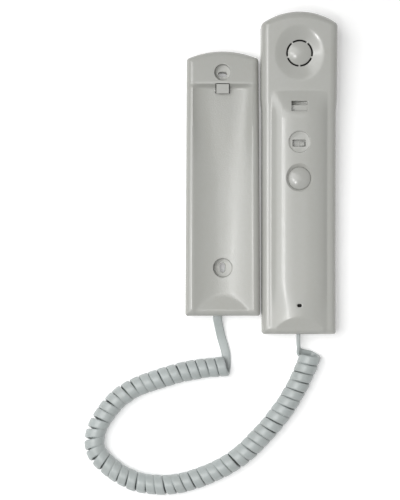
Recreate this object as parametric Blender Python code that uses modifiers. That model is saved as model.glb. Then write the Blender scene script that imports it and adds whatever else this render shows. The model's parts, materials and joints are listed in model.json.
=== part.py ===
"""Slimline wall telephone for a door-entry system, lying beside its wall base with its curly cord loose.

Sizes are written in millimetres and turned to metres by MM where each mesh is made.
Frame: the origin is the middle of the base's wall face, +Y runs towards the earpiece end and +Z out of
the wall. The handset lies on its back beside the base, at HANDSET_X.
"""

import math

import bmesh
import bpy
from mathutils import Matrix, Vector

MM = 0.001
GAP = 0.3
WELD = 0.00001

# Both casings: how a corner is cut into steps, and the least radius that an inner outline keeps
CORNER_TURNS = (0.0, 0.5, 1.0)
SMALLEST_CORNER = 1.0
SMALLEST_EDGE = 0.8
WALL = 2.0
NEST_RADIUS = 1200.0

# Base: plan, crown and trough
BASE_TOP = 82.7
BASE_BOTTOM = -82.5
BASE_TOP_RADIUS = 54.7
BASE_CORNER = 1.6
BASE_HALF_WIDTH_TOP = 22.35
BASE_HALF_WIDTH_BOTTOM = 23.25
BASE_EDGE_RADIUS = 2.1
BASE_CROWN_HEIGHT = 20.0
BASE_CROWN_Y = -31.0
TROUGH_DEPTH = 4.3
TROUGH_HALF_WIDTH = 18.4
TROUGH_WIDENING = 1.4
LEDGE_TOP_Y = 62.6
LEDGE_FOOT_Y = 59.4
LIP_Y = -81.6
LIP_SLOPE = 0.36

# Handset: plan, saddle and hump
HANDSET_X = 47.5
HANDSET_TOP = 106.2
HANDSET_BOTTOM = -93.8
HANDSET_TOP_RADIUS = 40.0
HANDSET_CORNER = 1.6
HANDSET_HALF_WIDTH = 23.05
HANDSET_EAR_WIDENING = 0.6
HANDSET_SADDLE_HEIGHT = 18.0
HANDSET_SADDLE_Y = -42.4
HUMP_HEIGHT = 3.8
HUMP_HALF_WIDTH = 17.2
HUMP_START_Y = 57.2
HUMP_FULL_Y = 40.0
HUMP_END_Y = -92.6
HUMP_END_SLOPE = 0.41
SEAM_Z = 11.0
EAR_Y = 80.4
EAR_DISH_RADIUS = 15.5
EAR_DISH_DEPTH = 2.4

# Openings in the handset's face
EAR_SLOT_INNER = 7.1
EAR_SLOT_OUTER = 8.4
EAR_SLOT_COUNT = 5
EAR_SLOT_ANGLE = math.radians(58)
HOOK_RECESS = ((-4.95, 44.5), (4.95, 50.8))
HOOK_RECESS_FLOOR = 16.6
SWITCH_DISH_Y = 25.5
SWITCH_DISH_RADIUS = 7.0
SWITCH_WINDOW = ((-4.3, 22.6), (3.7, 26.8))
BUTTON_Y = 3.0
BUTTON_RADIUS = 7.0
BUTTON_RISE = 1.9
COUNTERSINK_RADIUS = 9.2
MICROPHONE_Y = -75.8
CORD_NOTCH_HALF_WIDTH = 1.9

# Wall plate and the two screw wells that reach down to it
PLATE_THICKNESS = 2.0
PLATE_INSET = 2.3
UPPER_WELL_Y = 69.3
UPPER_WELL_RADIUS = 5.1
UPPER_WELL_FLOOR = 11.2
UPPER_SLOT = ((-2.75, 66.9), (2.75, 69.9))
LOWER_WELL_Y = -52.5
LOWER_WELL_RADIUS = 5.9
LOWER_WELL_FLOOR = 10.9
LOWER_SLOT = ((-1.6, -55.5), (1.6, -49.5))
WELL_WALL = 1.5
CABLE_WINDOW = ((-8.0, -44.0), (8.0, -32.0))
PLATE_SCREWS = {"upper": (-15.2, 70.5), "lower": (15.6, -71.0)}

# Hook lever and its switch
HOOK_PIVOT_Y = 59.0
HOOK_PIVOT_Z = 7.0
HOOK_HALF_WIDTH = 3.9
HOOK_HEAD_Y = (56.1, 61.9)
HOOK_HEAD_Z = (13.4, 16.1)
HOOK_STEM_Y = 57.7
HOOK_WINDOW = ((-4.45, 56.3), (4.45, 62.35))
PIN_RADIUS = 1.0
HOOK_SWITCH_Y = 52.5

# Circuit boards
BOARD_THICKNESS = 1.6
BASE_BOARD_Z = 6.0
BASE_BOARD = ((-16.5, -30.0), (16.5, 46.0))
HANDSET_BOARD_Z = 8.0
HANDSET_BOARD = ((-14.0, -22.0), (14.0, 42.0))
BASE_BOARD_POSTS = ((-13.0, 40.0), (13.0, -24.0), (13.0, 40.0), (-13.0, -24.0))
HANDSET_POSTS = ((-10.5, -18.0), (10.5, 38.0), (10.5, -18.0), (-10.5, 38.0))

# Cord: a flat four-core lead, wound into a right-handed curl between two short tails
CORD_THICKNESS = 2.4
CURL_RADIUS = 6.3
CURL_Z = 6.5
BASE_EXIT_X = -3.1
BASE_EXIT_Z = 5.2
CURL_AXIS = (
    (2.5, -114.5), (-10.0, -115.5), (-24.0, -117.8), (-34.8, -120.8), (-44.8, -124.0), (-54.0, -127.5),
    (-63.0, -132.9), (-69.8, -139.4), (-75.5, -147.2), (-78.7, -153.4), (-80.3, -160.6), (-79.2, -167.7),
    (-75.6, -172.7), (-69.4, -178.4), (-61.8, -183.4), (-53.2, -187.0), (-43.2, -188.6), (-33.0, -188.7),
    (-22.9, -186.9), (-12.8, -183.6), (-2.7, -179.3), (6.6, -174.0), (15.4, -167.2), (22.4, -160.1),
    (29.1, -153.0), (34.6, -146.0), (39.7, -139.2), (43.8, -132.4), (47.5, -125.9), (50.6, -119.0),
    (53.6, -112.2), (55.3, -107.5),
)
BASE_TAIL = (
    (-3.1, -79.8, 5.2), (-3.0, -85.0, 4.9), (-2.0, -90.5, 3.2), (-0.6, -96.5, 1.9), (1.2, -102.5, 1.6),
    (4.2, -108.0, 1.9), (6.8, -111.2, 3.6), (7.0, -113.6, 5.6), (5.4, -114.5, 6.5), (2.85, -114.5, 6.5),
)
HANDSET_TAIL = (
    (47.5, -89.8, 9.0), (47.6, -94.0, 9.0), (48.2, -97.5, 8.6), (50.2, -101.0, 7.8), (53.5, -103.4, 7.0),
    (55.5, -105.0, 6.6), (55.45, -107.15, 6.5),
)


# ---------------------------------------------------------------- scene and materials

def clear_scene():
    """Start from an empty file: no objects, meshes, curves or materials."""
    for obj in list(bpy.data.objects):
        bpy.data.objects.remove(obj, do_unlink=True)
    for store in (bpy.data.meshes, bpy.data.curves, bpy.data.materials, bpy.data.collections):
        for block in list(store):
            store.remove(block)


def make_material(name, colour, roughness, metallic=0.0):
    """A plain finish with one colour, one roughness and one metallic value."""
    material = bpy.data.materials.new(name)
    material.use_nodes = True
    shader = material.node_tree.nodes["Principled BSDF"]
    shader.inputs["Base Color"].default_value = (*colour, 1.0)
    shader.inputs["Roughness"].default_value = roughness
    shader.inputs["Metallic"].default_value = metallic
    return material


clear_scene()
PARTS = bpy.data.collections.new("slimline_wall_telephone")
CUTTERS = bpy.data.collections.new("cutters")
bpy.context.scene.collection.children.link(PARTS)
bpy.context.scene.collection.children.link(CUTTERS)

CASE_PLASTIC = make_material("case_plastic", (0.62, 0.63, 0.60), 0.28)
BUTTON_PLASTIC = make_material("button_plastic", (0.66, 0.67, 0.65), 0.24)
PLATE_PLASTIC = make_material("plate_plastic", (0.45, 0.46, 0.45), 0.5)
BLACK_PLASTIC = make_material("black_plastic", (0.03, 0.03, 0.03), 0.45)
BOARD_GREEN = make_material("board_green", (0.05, 0.22, 0.10), 0.4)
TERMINAL_GREEN = make_material("terminal_green", (0.06, 0.30, 0.16), 0.45)
ZINC_STEEL = make_material("zinc_steel", (0.62, 0.62, 0.60), 0.3, 1.0)
SPRING_STEEL = make_material("spring_steel", (0.50, 0.50, 0.50), 0.35, 1.0)
CAPSULE_METAL = make_material("capsule_metal", (0.66, 0.66, 0.66), 0.35, 1.0)
FOAM_RUBBER = make_material("foam_rubber", (0.05, 0.05, 0.05), 0.9)
CORD_JACKET = make_material("cord_jacket", (0.55, 0.58, 0.59), 0.4)
LEAD_JACKET = make_material("lead_jacket", (0.30, 0.05, 0.04), 0.5)


# ---------------------------------------------------------------- mesh helpers (millimetres)

def add_part(name, bm, material, collection=None, origin=(0.0, 0.0, 0.0)):
    """Turn a bmesh in millimetres into an object whose origin stands at `origin`."""
    bmesh.ops.translate(bm, verts=bm.verts, vec=-Vector(origin))
    bm.transform(Matrix.Scale(MM, 4))
    mesh = bpy.data.meshes.new(name)
    bm.to_mesh(mesh)
    bm.free()
    if material is not None:
        mesh.materials.append(material)
    obj = bpy.data.objects.new(name, mesh)
    obj.location = Vector(origin) * MM
    (collection or PARTS).objects.link(obj)
    return obj


def add_cutter(name, bm):
    """A shape that only cuts or joins: drawn as wire and never rendered."""
    cutter = add_part(name, bm, None, CUTTERS)
    cutter.display_type = "WIRE"
    cutter.hide_render = True
    return cutter


def boolean(obj, cutter, operation):
    """Cut `cutter` out of `obj` (DIFFERENCE) or join it on (UNION)."""
    modifier = obj.modifiers.new(cutter.name, "BOOLEAN")
    modifier.operation = operation
    modifier.solver = "EXACT"
    modifier.object = cutter


def cut(obj, name, bm):
    """Remove a shape from an object."""
    boolean(obj, add_cutter(name, bm), "DIFFERENCE")


def join(obj, name, bm):
    """Grow an object by a shape that reaches into it."""
    boolean(obj, add_cutter(name, bm), "UNION")


def bevel(obj, width, segments=1):
    """Round an object's sharp edges."""
    modifier = obj.modifiers.new("rounded_edges", "BEVEL")
    modifier.width = width * MM
    modifier.segments = segments
    modifier.limit_method = "ANGLE"
    modifier.angle_limit = math.radians(40)


def smooth(obj):
    """Shade curved faces smooth and keep edges over 35 degrees sharp."""
    obj.data.shade_smooth()
    obj.data.set_sharp_from_angle(angle=math.radians(35))


def box_mesh(low, high):
    """A box between two corners."""
    bm = bmesh.new()
    bmesh.ops.create_cube(bm, size=1.0)
    size = Vector(high) - Vector(low)
    bmesh.ops.scale(bm, vec=size, verts=bm.verts)
    bmesh.ops.translate(bm, vec=Vector(low) + size / 2, verts=bm.verts)
    return bm


def rod_mesh(start, end, radius, sides=20, end_radius=None):
    """A cylinder, or a cone, between two points."""
    bm = bmesh.new()
    start = Vector(start)
    reach = Vector(end) - start
    far = radius if end_radius is None else end_radius
    bmesh.ops.create_cone(
        bm, cap_ends=True, segments=sides, radius1=radius, radius2=far, depth=reach.length
    )
    turn = reach.to_track_quat("Z", "Y").to_matrix().to_4x4()
    bm.transform(Matrix.Translation(start + reach / 2) @ turn)
    return bm


def slot_mesh(corners, z_low, z_high, steps=6):
    """An upright slot with two round ends, as long as the longer side of its plan."""
    (x0, y0), (x1, y1) = corners
    across = x1 - x0 < y1 - y0
    radius = min(x1 - x0, y1 - y0) / 2
    centres = ((x1 - radius, (y0 + y1) / 2), (x0 + radius, (y0 + y1) / 2))
    start = -math.pi / 2
    if across:
        centres = (((x0 + x1) / 2, y1 - radius), ((x0 + x1) / 2, y0 + radius))
        start = 0.0
    bm = bmesh.new()
    rim = []
    for end, (cx, cy) in enumerate(centres):
        for step in range(steps + 1):
            angle = start + math.pi * (end + step / steps)
            rim.append(bm.verts.new((cx + radius * math.cos(angle), cy + radius * math.sin(angle), z_low)))
    floor = bm.faces.new(rim)
    grown = bmesh.ops.extrude_face_region(bm, geom=[floor])["geom"]
    top = [item for item in grown if isinstance(item, bmesh.types.BMVert)]
    bmesh.ops.translate(bm, vec=(0, 0, z_high - z_low), verts=top)
    bmesh.ops.recalc_face_normals(bm, faces=bm.faces)
    return bm


def arc_slot_mesh(centre, inner, outer, middle, spread, z_low, z_high, steps=6):
    """A curved slot: a rectangle swept about a vertical axis through `spread` radians."""
    bm = bmesh.new()
    corners = ((inner, z_low), (outer, z_low), (outer, z_high), (inner, z_high))
    face = bm.faces.new([bm.verts.new((radius, 0.0, z)) for radius, z in corners])
    bmesh.ops.rotate(bm, verts=bm.verts, matrix=Matrix.Rotation(middle - spread / 2, 3, "Z"))
    bmesh.ops.spin(
        bm, geom=[face, *face.edges, *face.verts], cent=(0, 0, 0), axis=(0, 0, 1), angle=spread, steps=steps
    )
    bmesh.ops.recalc_face_normals(bm, faces=bm.faces)
    bmesh.ops.translate(bm, vec=(*centre, 0.0), verts=bm.verts)
    return bm


def box_part(name, low, high, material, edge=0.0, origin=(0.0, 0.0, 0.0)):
    """A box as a part, with its edges rounded if `edge` is more than nothing."""
    obj = add_part(name, box_mesh(low, high), material, origin=origin)
    if edge:
        bevel(obj, edge)
    return obj


def rod_part(name, start, end, radius, material, sides=20, origin=(0.0, 0.0, 0.0)):
    """A cylinder as a part."""
    obj = add_part(name, rod_mesh(start, end, radius, sides), material, origin=origin)
    smooth(obj)
    return obj


def turned_part(name, profile, material, origin, closed=False, steps=28):
    """A profile of (radius, height) turned about the vertical through `origin`.

    The profile runs down the outer side, from top to bottom.
    """
    mesh = bpy.data.meshes.new(name)
    points = [(radius * MM, 0.0, height * MM) for radius, height in profile]
    edges = [(i, i + 1) for i in range(len(points) - 1)]
    if closed:
        edges.append((len(points) - 1, 0))
    mesh.from_pydata(points, edges, [])
    mesh.materials.append(material)
    obj = bpy.data.objects.new(name, mesh)
    obj.location = Vector(origin) * MM
    PARTS.objects.link(obj)
    screw = obj.modifiers.new("turned", "SCREW")
    screw.steps = steps
    screw.render_steps = steps
    screw.use_merge_vertices = True
    screw.merge_threshold = WELD
    screw.use_smooth_shade = False
    return obj


def smooth_route(points, spacing):
    """Points an even distance apart on the smooth curve (Catmull-Rom) through the given ones."""
    points = [Vector(point) for point in points]
    ends = [2 * points[0] - points[1], *points, 2 * points[-1] - points[-2]]
    fine = []
    parts = 24
    for k in range(1, len(ends) - 2):
        before, start, end, after = ends[k - 1 : k + 3]
        for step in range(parts):
            t = step / parts
            fine.append(
                0.5 * (2 * start + (end - before) * t + (2 * before - 5 * start + 4 * end - after) * t**2
                       + (3 * start - before - 3 * end + after) * t**3)
            )
    fine.append(points[-1])
    total = sum((b - a).length for a, b in zip(fine, fine[1:]))
    count = max(2, round(total / spacing))
    route = [fine[0]]
    travelled = 0.0
    for a, b in zip(fine, fine[1:]):
        reach = (b - a).length
        while len(route) < count and travelled + reach >= total * len(route) / count:
            route.append(a.lerp(b, (total * len(route) / count - travelled) / reach))
        travelled += reach
    route.append(fine[-1])
    return route


def tube_part(name, points, radius, material, spacing, resolution=2):
    """A round lead along a smooth route, with filled ends."""
    curve = bpy.data.curves.new(name, "CURVE")
    curve.dimensions = "3D"
    curve.bevel_depth = radius * MM
    curve.bevel_resolution = resolution
    curve.use_fill_caps = True
    route = smooth_route(points, spacing)
    spline = curve.splines.new("POLY")
    spline.points.add(len(route) - 1)
    for point, place in zip(spline.points, route):
        point.co = (*(place * MM), 1.0)
    curve.materials.append(material)
    obj = bpy.data.objects.new(name, curve)
    PARTS.objects.link(obj)
    return obj


def coil_spring(name, centre, radius, wire, low, high, turns, material, along_x=False):
    """A helical spring between two heights (or two x positions when it lies along X)."""
    route = []
    per_turn = 12
    for step in range(turns * per_turn + 1):
        angle = 2 * math.pi * step / per_turn
        rise = low + wire + (high - low - 2 * wire) * step / (turns * per_turn)
        side, up = radius * math.cos(angle), radius * math.sin(angle)
        if along_x:
            route.append((rise, centre[0] + side, centre[1] + up))
        else:
            route.append((centre[0] + side, centre[1] + up, rise))
    curve = bpy.data.curves.new(name, "CURVE")
    curve.dimensions = "3D"
    curve.bevel_depth = wire * MM
    curve.bevel_resolution = 1
    curve.use_fill_caps = True
    spline = curve.splines.new("POLY")
    spline.points.add(len(route) - 1)
    for point, place in zip(spline.points, route):
        point.co = (*(Vector(place) * MM), 1.0)
    curve.materials.append(material)
    obj = bpy.data.objects.new(name, curve)
    PARTS.objects.link(obj)
    return obj


# ---------------------------------------------------------------- casing shapes

def ramp(value, start, end):
    """A smooth step from 0 at `start` to 1 at `end`."""
    t = min(max((value - start) / (end - start), 0.0), 1.0)
    return t * t * (3 - 2 * t)


def base_half_width(y):
    """The base is a little wider at the bottom."""
    part = (y - BASE_BOTTOM) / (BASE_TOP - BASE_BOTTOM)
    return BASE_HALF_WIDTH_BOTTOM + (BASE_HALF_WIDTH_TOP - BASE_HALF_WIDTH_BOTTOM) * part


def base_height(x, y):
    """Height of the base's face: a long crown with a trough that ends at the ledge and at the lip."""
    crown = BASE_CROWN_HEIGHT - (y - BASE_CROWN_Y) ** 2 / (2 * NEST_RADIUS)
    half_width = TROUGH_HALF_WIDTH + TROUGH_WIDENING * ramp(y, 30.0, 58.0)
    fullness = 2.3 + 2.2 * ramp(y, 0.0, 58.0)
    across = max(1 - (abs(x) / half_width) ** fullness, 0.0)
    ledge = 1 - ramp(y, LEDGE_FOOT_Y, LEDGE_TOP_Y)
    depth = min(TROUGH_DEPTH * across, max(LIP_SLOPE * (y - LIP_Y), 0.0))
    return crown - depth * ledge


def handset_half_width(y):
    """The handset narrows a little below the earpiece."""
    return HANDSET_HALF_WIDTH + HANDSET_EAR_WIDENING * ramp(y, 44.0, 54.0)


def handset_edge_radius(y):
    """The edge is rounder at the earpiece end."""
    return 2.6 + 2.0 * ramp(y, 44.0, 58.0)


def handset_height(x, y):
    """Height of the handset's face: a long saddle, the hump that fills the base's trough, the ear dish."""
    saddle = HANDSET_SADDLE_HEIGHT + (y - HANDSET_SADDLE_Y) ** 2 / (2 * NEST_RADIUS)
    across = max(1 - (abs(x) / HUMP_HALF_WIDTH) ** 2.6, 0.0)
    start = 1 - ramp(y, HUMP_FULL_Y, HUMP_START_Y)
    hump = min(HUMP_HEIGHT * across, max(HUMP_END_SLOPE * (y - HUMP_END_Y), 0.0)) * start
    from_ear = math.hypot(x, y - EAR_Y)
    dish = EAR_DISH_DEPTH * max(1 - (from_ear / EAR_DISH_RADIUS) ** 2, 0.0)
    return saddle + hump - dish


BASE_CASE = {
    "top": BASE_TOP, "bottom": BASE_BOTTOM, "top_radius": BASE_TOP_RADIUS, "corner": BASE_CORNER,
    "bend_from": LEDGE_TOP_Y, "half_width": base_half_width, "edge_radius": lambda y: BASE_EDGE_RADIUS,
    "across": (0.0, 5.0, 9.5, 13.5, 16.6, 18.6),
    "along": (-74.0, -66.0, -56.0, -42.0, -26.0, -8.0, 10.0, 27.0, 42.0, 52.0, 58.0,
              59.4, 60.5, 61.5, 62.6, 69.0, 75.5),
}
HANDSET_CASE = {
    "top": HANDSET_TOP, "bottom": HANDSET_BOTTOM, "top_radius": HANDSET_TOP_RADIUS,
    "corner": HANDSET_CORNER, "bend_from": HUMP_START_Y, "half_width": handset_half_width,
    "edge_radius": handset_edge_radius,
    "across": (0.0, 5.0, 9.5, 13.5, 16.2, 17.6),
    "along": (-88.5, -85.0, -81.0, -74.0, -62.0, -46.0, -30.0, -14.0, 2.0, 18.0, 33.0, 40.0, 45.5, 51.0,
              57.2, 63.0, 68.0, 72.5, 77.0, 81.5, 86.0, 91.0, 97.0),
}
def grid_lines(case):
    """The casing's grid lines as (place, turn): place in millimetres, turn from 0 to 1 round a corner."""
    far = float("inf")
    low = [(-far, turn) for turn in reversed(CORNER_TURNS)]
    high = [(far, turn) for turn in CORNER_TURNS]
    middle = [(-x, 0.0) for x in reversed(case["across"][1:])] + [(x, 0.0) for x in case["across"]]
    along = [(y, 0.0) for y in case["along"]]
    return low + middle + high, low + along + high


def plan_point(case, across, along, inset):
    """Where two grid lines cross in plan, for the outline drawn `inset` inside the casing's own.

    The outline is a rectangle with round corners whose top end is bent to an arc.
    """
    corner = max(case["corner"] - inset, SMALLEST_CORNER)
    y = min(max(along[0], case["bottom"] + inset + corner), case["top"] - inset - corner)
    reach = case["half_width"](y) - inset - corner
    x = min(max(across[0], -reach), reach)
    turn_x, turn_y = across[1], along[1]
    if turn_x or turn_y:
        out = corner * max(turn_x, turn_y)
        angle = math.pi / 4 * (turn_y / turn_x if turn_x >= turn_y else 2 - turn_x / turn_y)
        x += math.copysign(out * math.cos(angle), across[0])
        y += math.copysign(out * math.sin(angle), along[0])
    lean = max(y - case["bend_from"], 0.0) / (case["top"] - case["bend_from"])
    sag = case["top_radius"] - math.sqrt(case["top_radius"] ** 2 - x**2)
    return x, y - lean * sag


def casing_solid(case, height, rim_z, shift_x=0.0, inset=0.0, edge_steps=3):
    """A solid casing: a grid bent to shape, its edge turned over, carried down to a flat rim.

    With an inset it is the room inside a wall of that thickness.
    """
    across, along = grid_lines(case)
    bm = bmesh.new()
    column = bm.verts.layers.int.new("column")
    row = bm.verts.layers.int.new("row")
    bmesh.ops.create_grid(bm, x_segments=len(across) - 1, y_segments=len(along) - 1, size=1.0)
    for vert in bm.verts:
        vert[column] = round((vert.co.x + 1) / 2 * (len(across) - 1))
        vert[row] = round((vert.co.y + 1) / 2 * (len(along) - 1))

    def place(vert, edge, drop):
        lines = across[vert[column]], along[vert[row]]
        y = min(max(lines[1][0], case["bottom"]), case["top"])
        radius = max(case["edge_radius"](y) - inset, SMALLEST_EDGE)
        inner = plan_point(case, *lines, inset + radius)
        x, y = plan_point(case, *lines, inset + radius * edge)
        vert.co = (x, y, height(*inner) - inset - radius * drop)

    for vert in bm.verts:
        place(vert, 1.0, 0.0)
    loop = [edge for edge in bm.edges if edge.is_boundary]
    for step in range(1, edge_steps + 2):
        angle = math.pi / 2 * min(step / edge_steps, 1.0)
        grown = bmesh.ops.extrude_edge_only(bm, edges=loop)["geom"]
        loop = [item for item in grown if isinstance(item, bmesh.types.BMEdge) and item.is_boundary]
        for vert in [item for item in grown if isinstance(item, bmesh.types.BMVert)]:
            place(vert, 1.0 - math.sin(angle), 1.0 - math.cos(angle))
            if step > edge_steps:
                vert.co.z = rim_z
    bmesh.ops.holes_fill(bm, edges=loop, sides=0)
    bmesh.ops.recalc_face_normals(bm, faces=bm.faces)
    bmesh.ops.translate(bm, vec=(shift_x, 0, 0), verts=bm.verts)
    return bm


def ring_solid(case, profile, shift_x=0.0):
    """A closed solid from rings of the casing's outline, each given as (inset, height)."""
    across, along = grid_lines(case)
    border = [(line, along[0]) for line in across[:-1]]
    border += [(across[-1], line) for line in along[:-1]]
    border += [(line, along[-1]) for line in reversed(across[1:])]
    border += [(across[0], line) for line in reversed(along[1:])]
    bm = bmesh.new()
    rings = []
    for inset, z in profile:
        plan = [plan_point(case, *lines, inset) for lines in border]
        rings.append([bm.verts.new((x + shift_x, y, z)) for x, y in plan])
    for lower, upper in zip(rings, rings[1:]):
        for k in range(len(border)):
            near = (k + 1) % len(border)
            bm.faces.new((lower[k], lower[near], upper[near], upper[k]))
    bm.faces.new(list(reversed(rings[0])))
    bm.faces.new(rings[-1])
    bmesh.ops.recalc_face_normals(bm, faces=bm.faces)
    return bm


def shell_part(name, case, height, rim_z, shift_x=0.0):
    """A casing with its inside cut away, open below, with a wall of even thickness."""
    shell = add_part(name, casing_solid(case, height, rim_z, shift_x), CASE_PLASTIC)
    smooth(shell)
    cut(shell, f"{name}_inside", casing_solid(case, height, rim_z - 2.0, shift_x, WALL, 2))
    middle = add_cutter(f"{name}_mid_wall", casing_solid(case, height, 0.5, shift_x, WALL / 2, 2))
    return shell, middle


def grow_inside(shell, middle, name, bm):
    """Join a post or a pocket to a shell, trimmed to end inside the shell's wall."""
    post = add_cutter(name, bm)
    boolean(post, middle, "INTERSECT")
    boolean(shell, post, "UNION")


# ---------------------------------------------------------------- wall base

def make_base_shell():
    """Front cover of the base: trough, ledge, two screw wells, hook window and cord outlet."""
    shell, middle = shell_part("base_shell", BASE_CASE, base_height, 0.0)
    wells = (
        ("upper", UPPER_WELL_Y, UPPER_WELL_RADIUS, UPPER_WELL_FLOOR, UPPER_SLOT),
        ("lower", LOWER_WELL_Y, LOWER_WELL_RADIUS, LOWER_WELL_FLOOR, LOWER_SLOT),
    )
    under = PLATE_THICKNESS + GAP
    for side, y, radius, floor, slot in wells:
        post = rod_mesh((0, y, under), (0, y, 25.0), radius + WELL_WALL, 28)
        grow_inside(shell, middle, f"{side}_well_post", post)
        cut(shell, f"{side}_well", rod_mesh((0, y, floor), (0, y, 25.0), radius, 28))
        cut(shell, f"{side}_slot_in_shell", slot_mesh(slot, 0.0, 20.0))
    for side, (x, y) in PLATE_SCREWS.items():
        grow_inside(shell, middle, f"{side}_plate_post", rod_mesh((x, y, under), (x, y, 25.0), 2.9, 14))
        cut(shell, f"{side}_plate_hole", rod_mesh((x, y, 1.0), (x, y, 8.4), 1.35, 14))
    (x0, y0), (x1, y1) = HOOK_WINDOW
    cut(shell, "hook_window", box_mesh((x0, y0, 8.0), (x1, y1, 25.0)))
    outlet = CORD_THICKNESS / 2 + 0.6
    low = (BASE_EXIT_X - 3.3, BASE_BOTTOM - 2.0, BASE_EXIT_Z - outlet)
    high = (BASE_EXIT_X + 3.3, BASE_BOTTOM + 3.0, BASE_EXIT_Z + outlet)
    cut(shell, "base_cord_outlet", box_mesh(low, high))
    return shell


def pin_bore():
    """The running bore round the hook's pin, long enough to pass the lever and both bearing ears."""
    ends = ((-8, HOOK_PIVOT_Y, HOOK_PIVOT_Z), (8, HOOK_PIVOT_Y, HOOK_PIVOT_Z))
    return rod_mesh(*ends, PIN_RADIUS + 0.25, 16)


def make_wall_plate():
    """Rear plate: carries the board posts and the hook's bearing ears, and lies on the wall."""
    slab = ring_solid(BASE_CASE, ((PLATE_INSET, 0.0), (PLATE_INSET, PLATE_THICKNESS)))
    plate = add_part("wall_plate", slab, PLATE_PLASTIC)
    for k, (x, y) in enumerate(BASE_BOARD_POSTS):
        join(plate, f"base_board_post_{k}", rod_mesh((x, y, 1.0), (x, y, BASE_BOARD_Z - GAP), 2.5, 14))
    for k, side in enumerate((-1, 1)):
        inner, outer = sorted((side * 4.4, side * 6.4))
        join(plate, f"hook_ear_{k}", box_mesh((inner, 57.0, 1.0), (outer, 61.0, 9.4)))
    cut(plate, "hook_ear_bore", pin_bore())
    cut(plate, "upper_slot_in_plate", slot_mesh(UPPER_SLOT, -2.0, 4.0))
    cut(plate, "lower_slot_in_plate", slot_mesh(LOWER_SLOT, -2.0, 4.0))
    (x0, y0), (x1, y1) = CABLE_WINDOW
    cut(plate, "cable_window", box_mesh((x0, y0, -2.0), (x1, y1, 4.0)))
    for k, (x, y) in enumerate(BASE_BOARD_POSTS[:2]):
        cut(plate, f"base_board_hole_{k}", rod_mesh((x, y, 1.2), (x, y, 9.0), 1.25, 12))
    for side, (x, y) in PLATE_SCREWS.items():
        cut(plate, f"{side}_countersink", rod_mesh((x, y, -0.4), (x, y, 1.4), 3.2, 16, end_radius=1.5))
        cut(plate, f"{side}_plate_bore", rod_mesh((x, y, 0.5), (x, y, 4.0), 1.5, 16))
    return plate


def make_plate_screws():
    """Two countersunk screws that hold the cover to the plate from behind."""
    for side, (x, y) in PLATE_SCREWS.items():
        profile = ((0.0, 8.1), (1.05, 8.1), (1.05, 1.35), (2.35, 0.35), (2.35, 0.1), (0.0, 0.1))
        turned_part(f"plate_screw_{side}", profile, ZINC_STEEL, (x, y, 0.0), steps=14)


def pan_screw(name, x, y, seat_z, length):
    """A pan-head screw with its head on `seat_z` and its shank below."""
    profile = (
        (0.0, 1.3), (1.3, 1.2), (2.0, 0.6), (2.0, 0.0), (1.0, 0.0), (1.0, -length), (0.0, -length),
    )
    turned_part(name, profile, ZINC_STEEL, (x, y, seat_z), steps=12)


def make_base_electronics():
    """The base's circuit board with its terminal block, call buzzer and cord connector."""
    (x0, y0), (x1, y1) = BASE_BOARD
    top = BASE_BOARD_Z + BOARD_THICKNESS
    board = box_part("base_circuit_board", (x0, y0, BASE_BOARD_Z), (x1, y1, top), BOARD_GREEN)
    for k, (x, y) in enumerate(BASE_BOARD_POSTS[:2]):
        cut(board, f"base_board_bore_{k}", rod_mesh((x, y, 4.0), (x, y, 10.0), 1.3, 12))
        pan_screw(f"base_board_screw_{k + 1}", x, y, top + GAP, 5.2)
    on_board = top + GAP
    block = box_part("terminal_block", (-11.0, -15.0, on_board), (11.0, -6.0, 12.8), TERMINAL_GREEN)
    for k in range(4):
        x = -8.1 + 5.4 * k
        cut(block, f"terminal_well_{k}", rod_mesh((x, -9.8, 9.6), (x, -9.8, 14.0), 2.1, 12))
        cut(block, f"terminal_mouth_{k}", box_mesh((x - 1.5, -16.0, 8.6), (x + 1.5, -12.6, 11.2)))
        profile = ((0.0, 12.2), (1.7, 12.0), (1.8, 11.4), (1.8, 9.9), (0.0, 9.9))
        turned_part(f"terminal_screw_{k + 1}", profile, ZINC_STEEL, (x, -9.8, 0.0), steps=12)
    rod_part("call_buzzer", (0, 22.0, on_board), (0, 22.0, 11.7), 9.0, BLACK_PLASTIC, 24)
    box_part("base_cord_connector", (-7.0, -29.4, on_board), (1.0, -23.6, 11.5), BLACK_PLASTIC)


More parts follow.
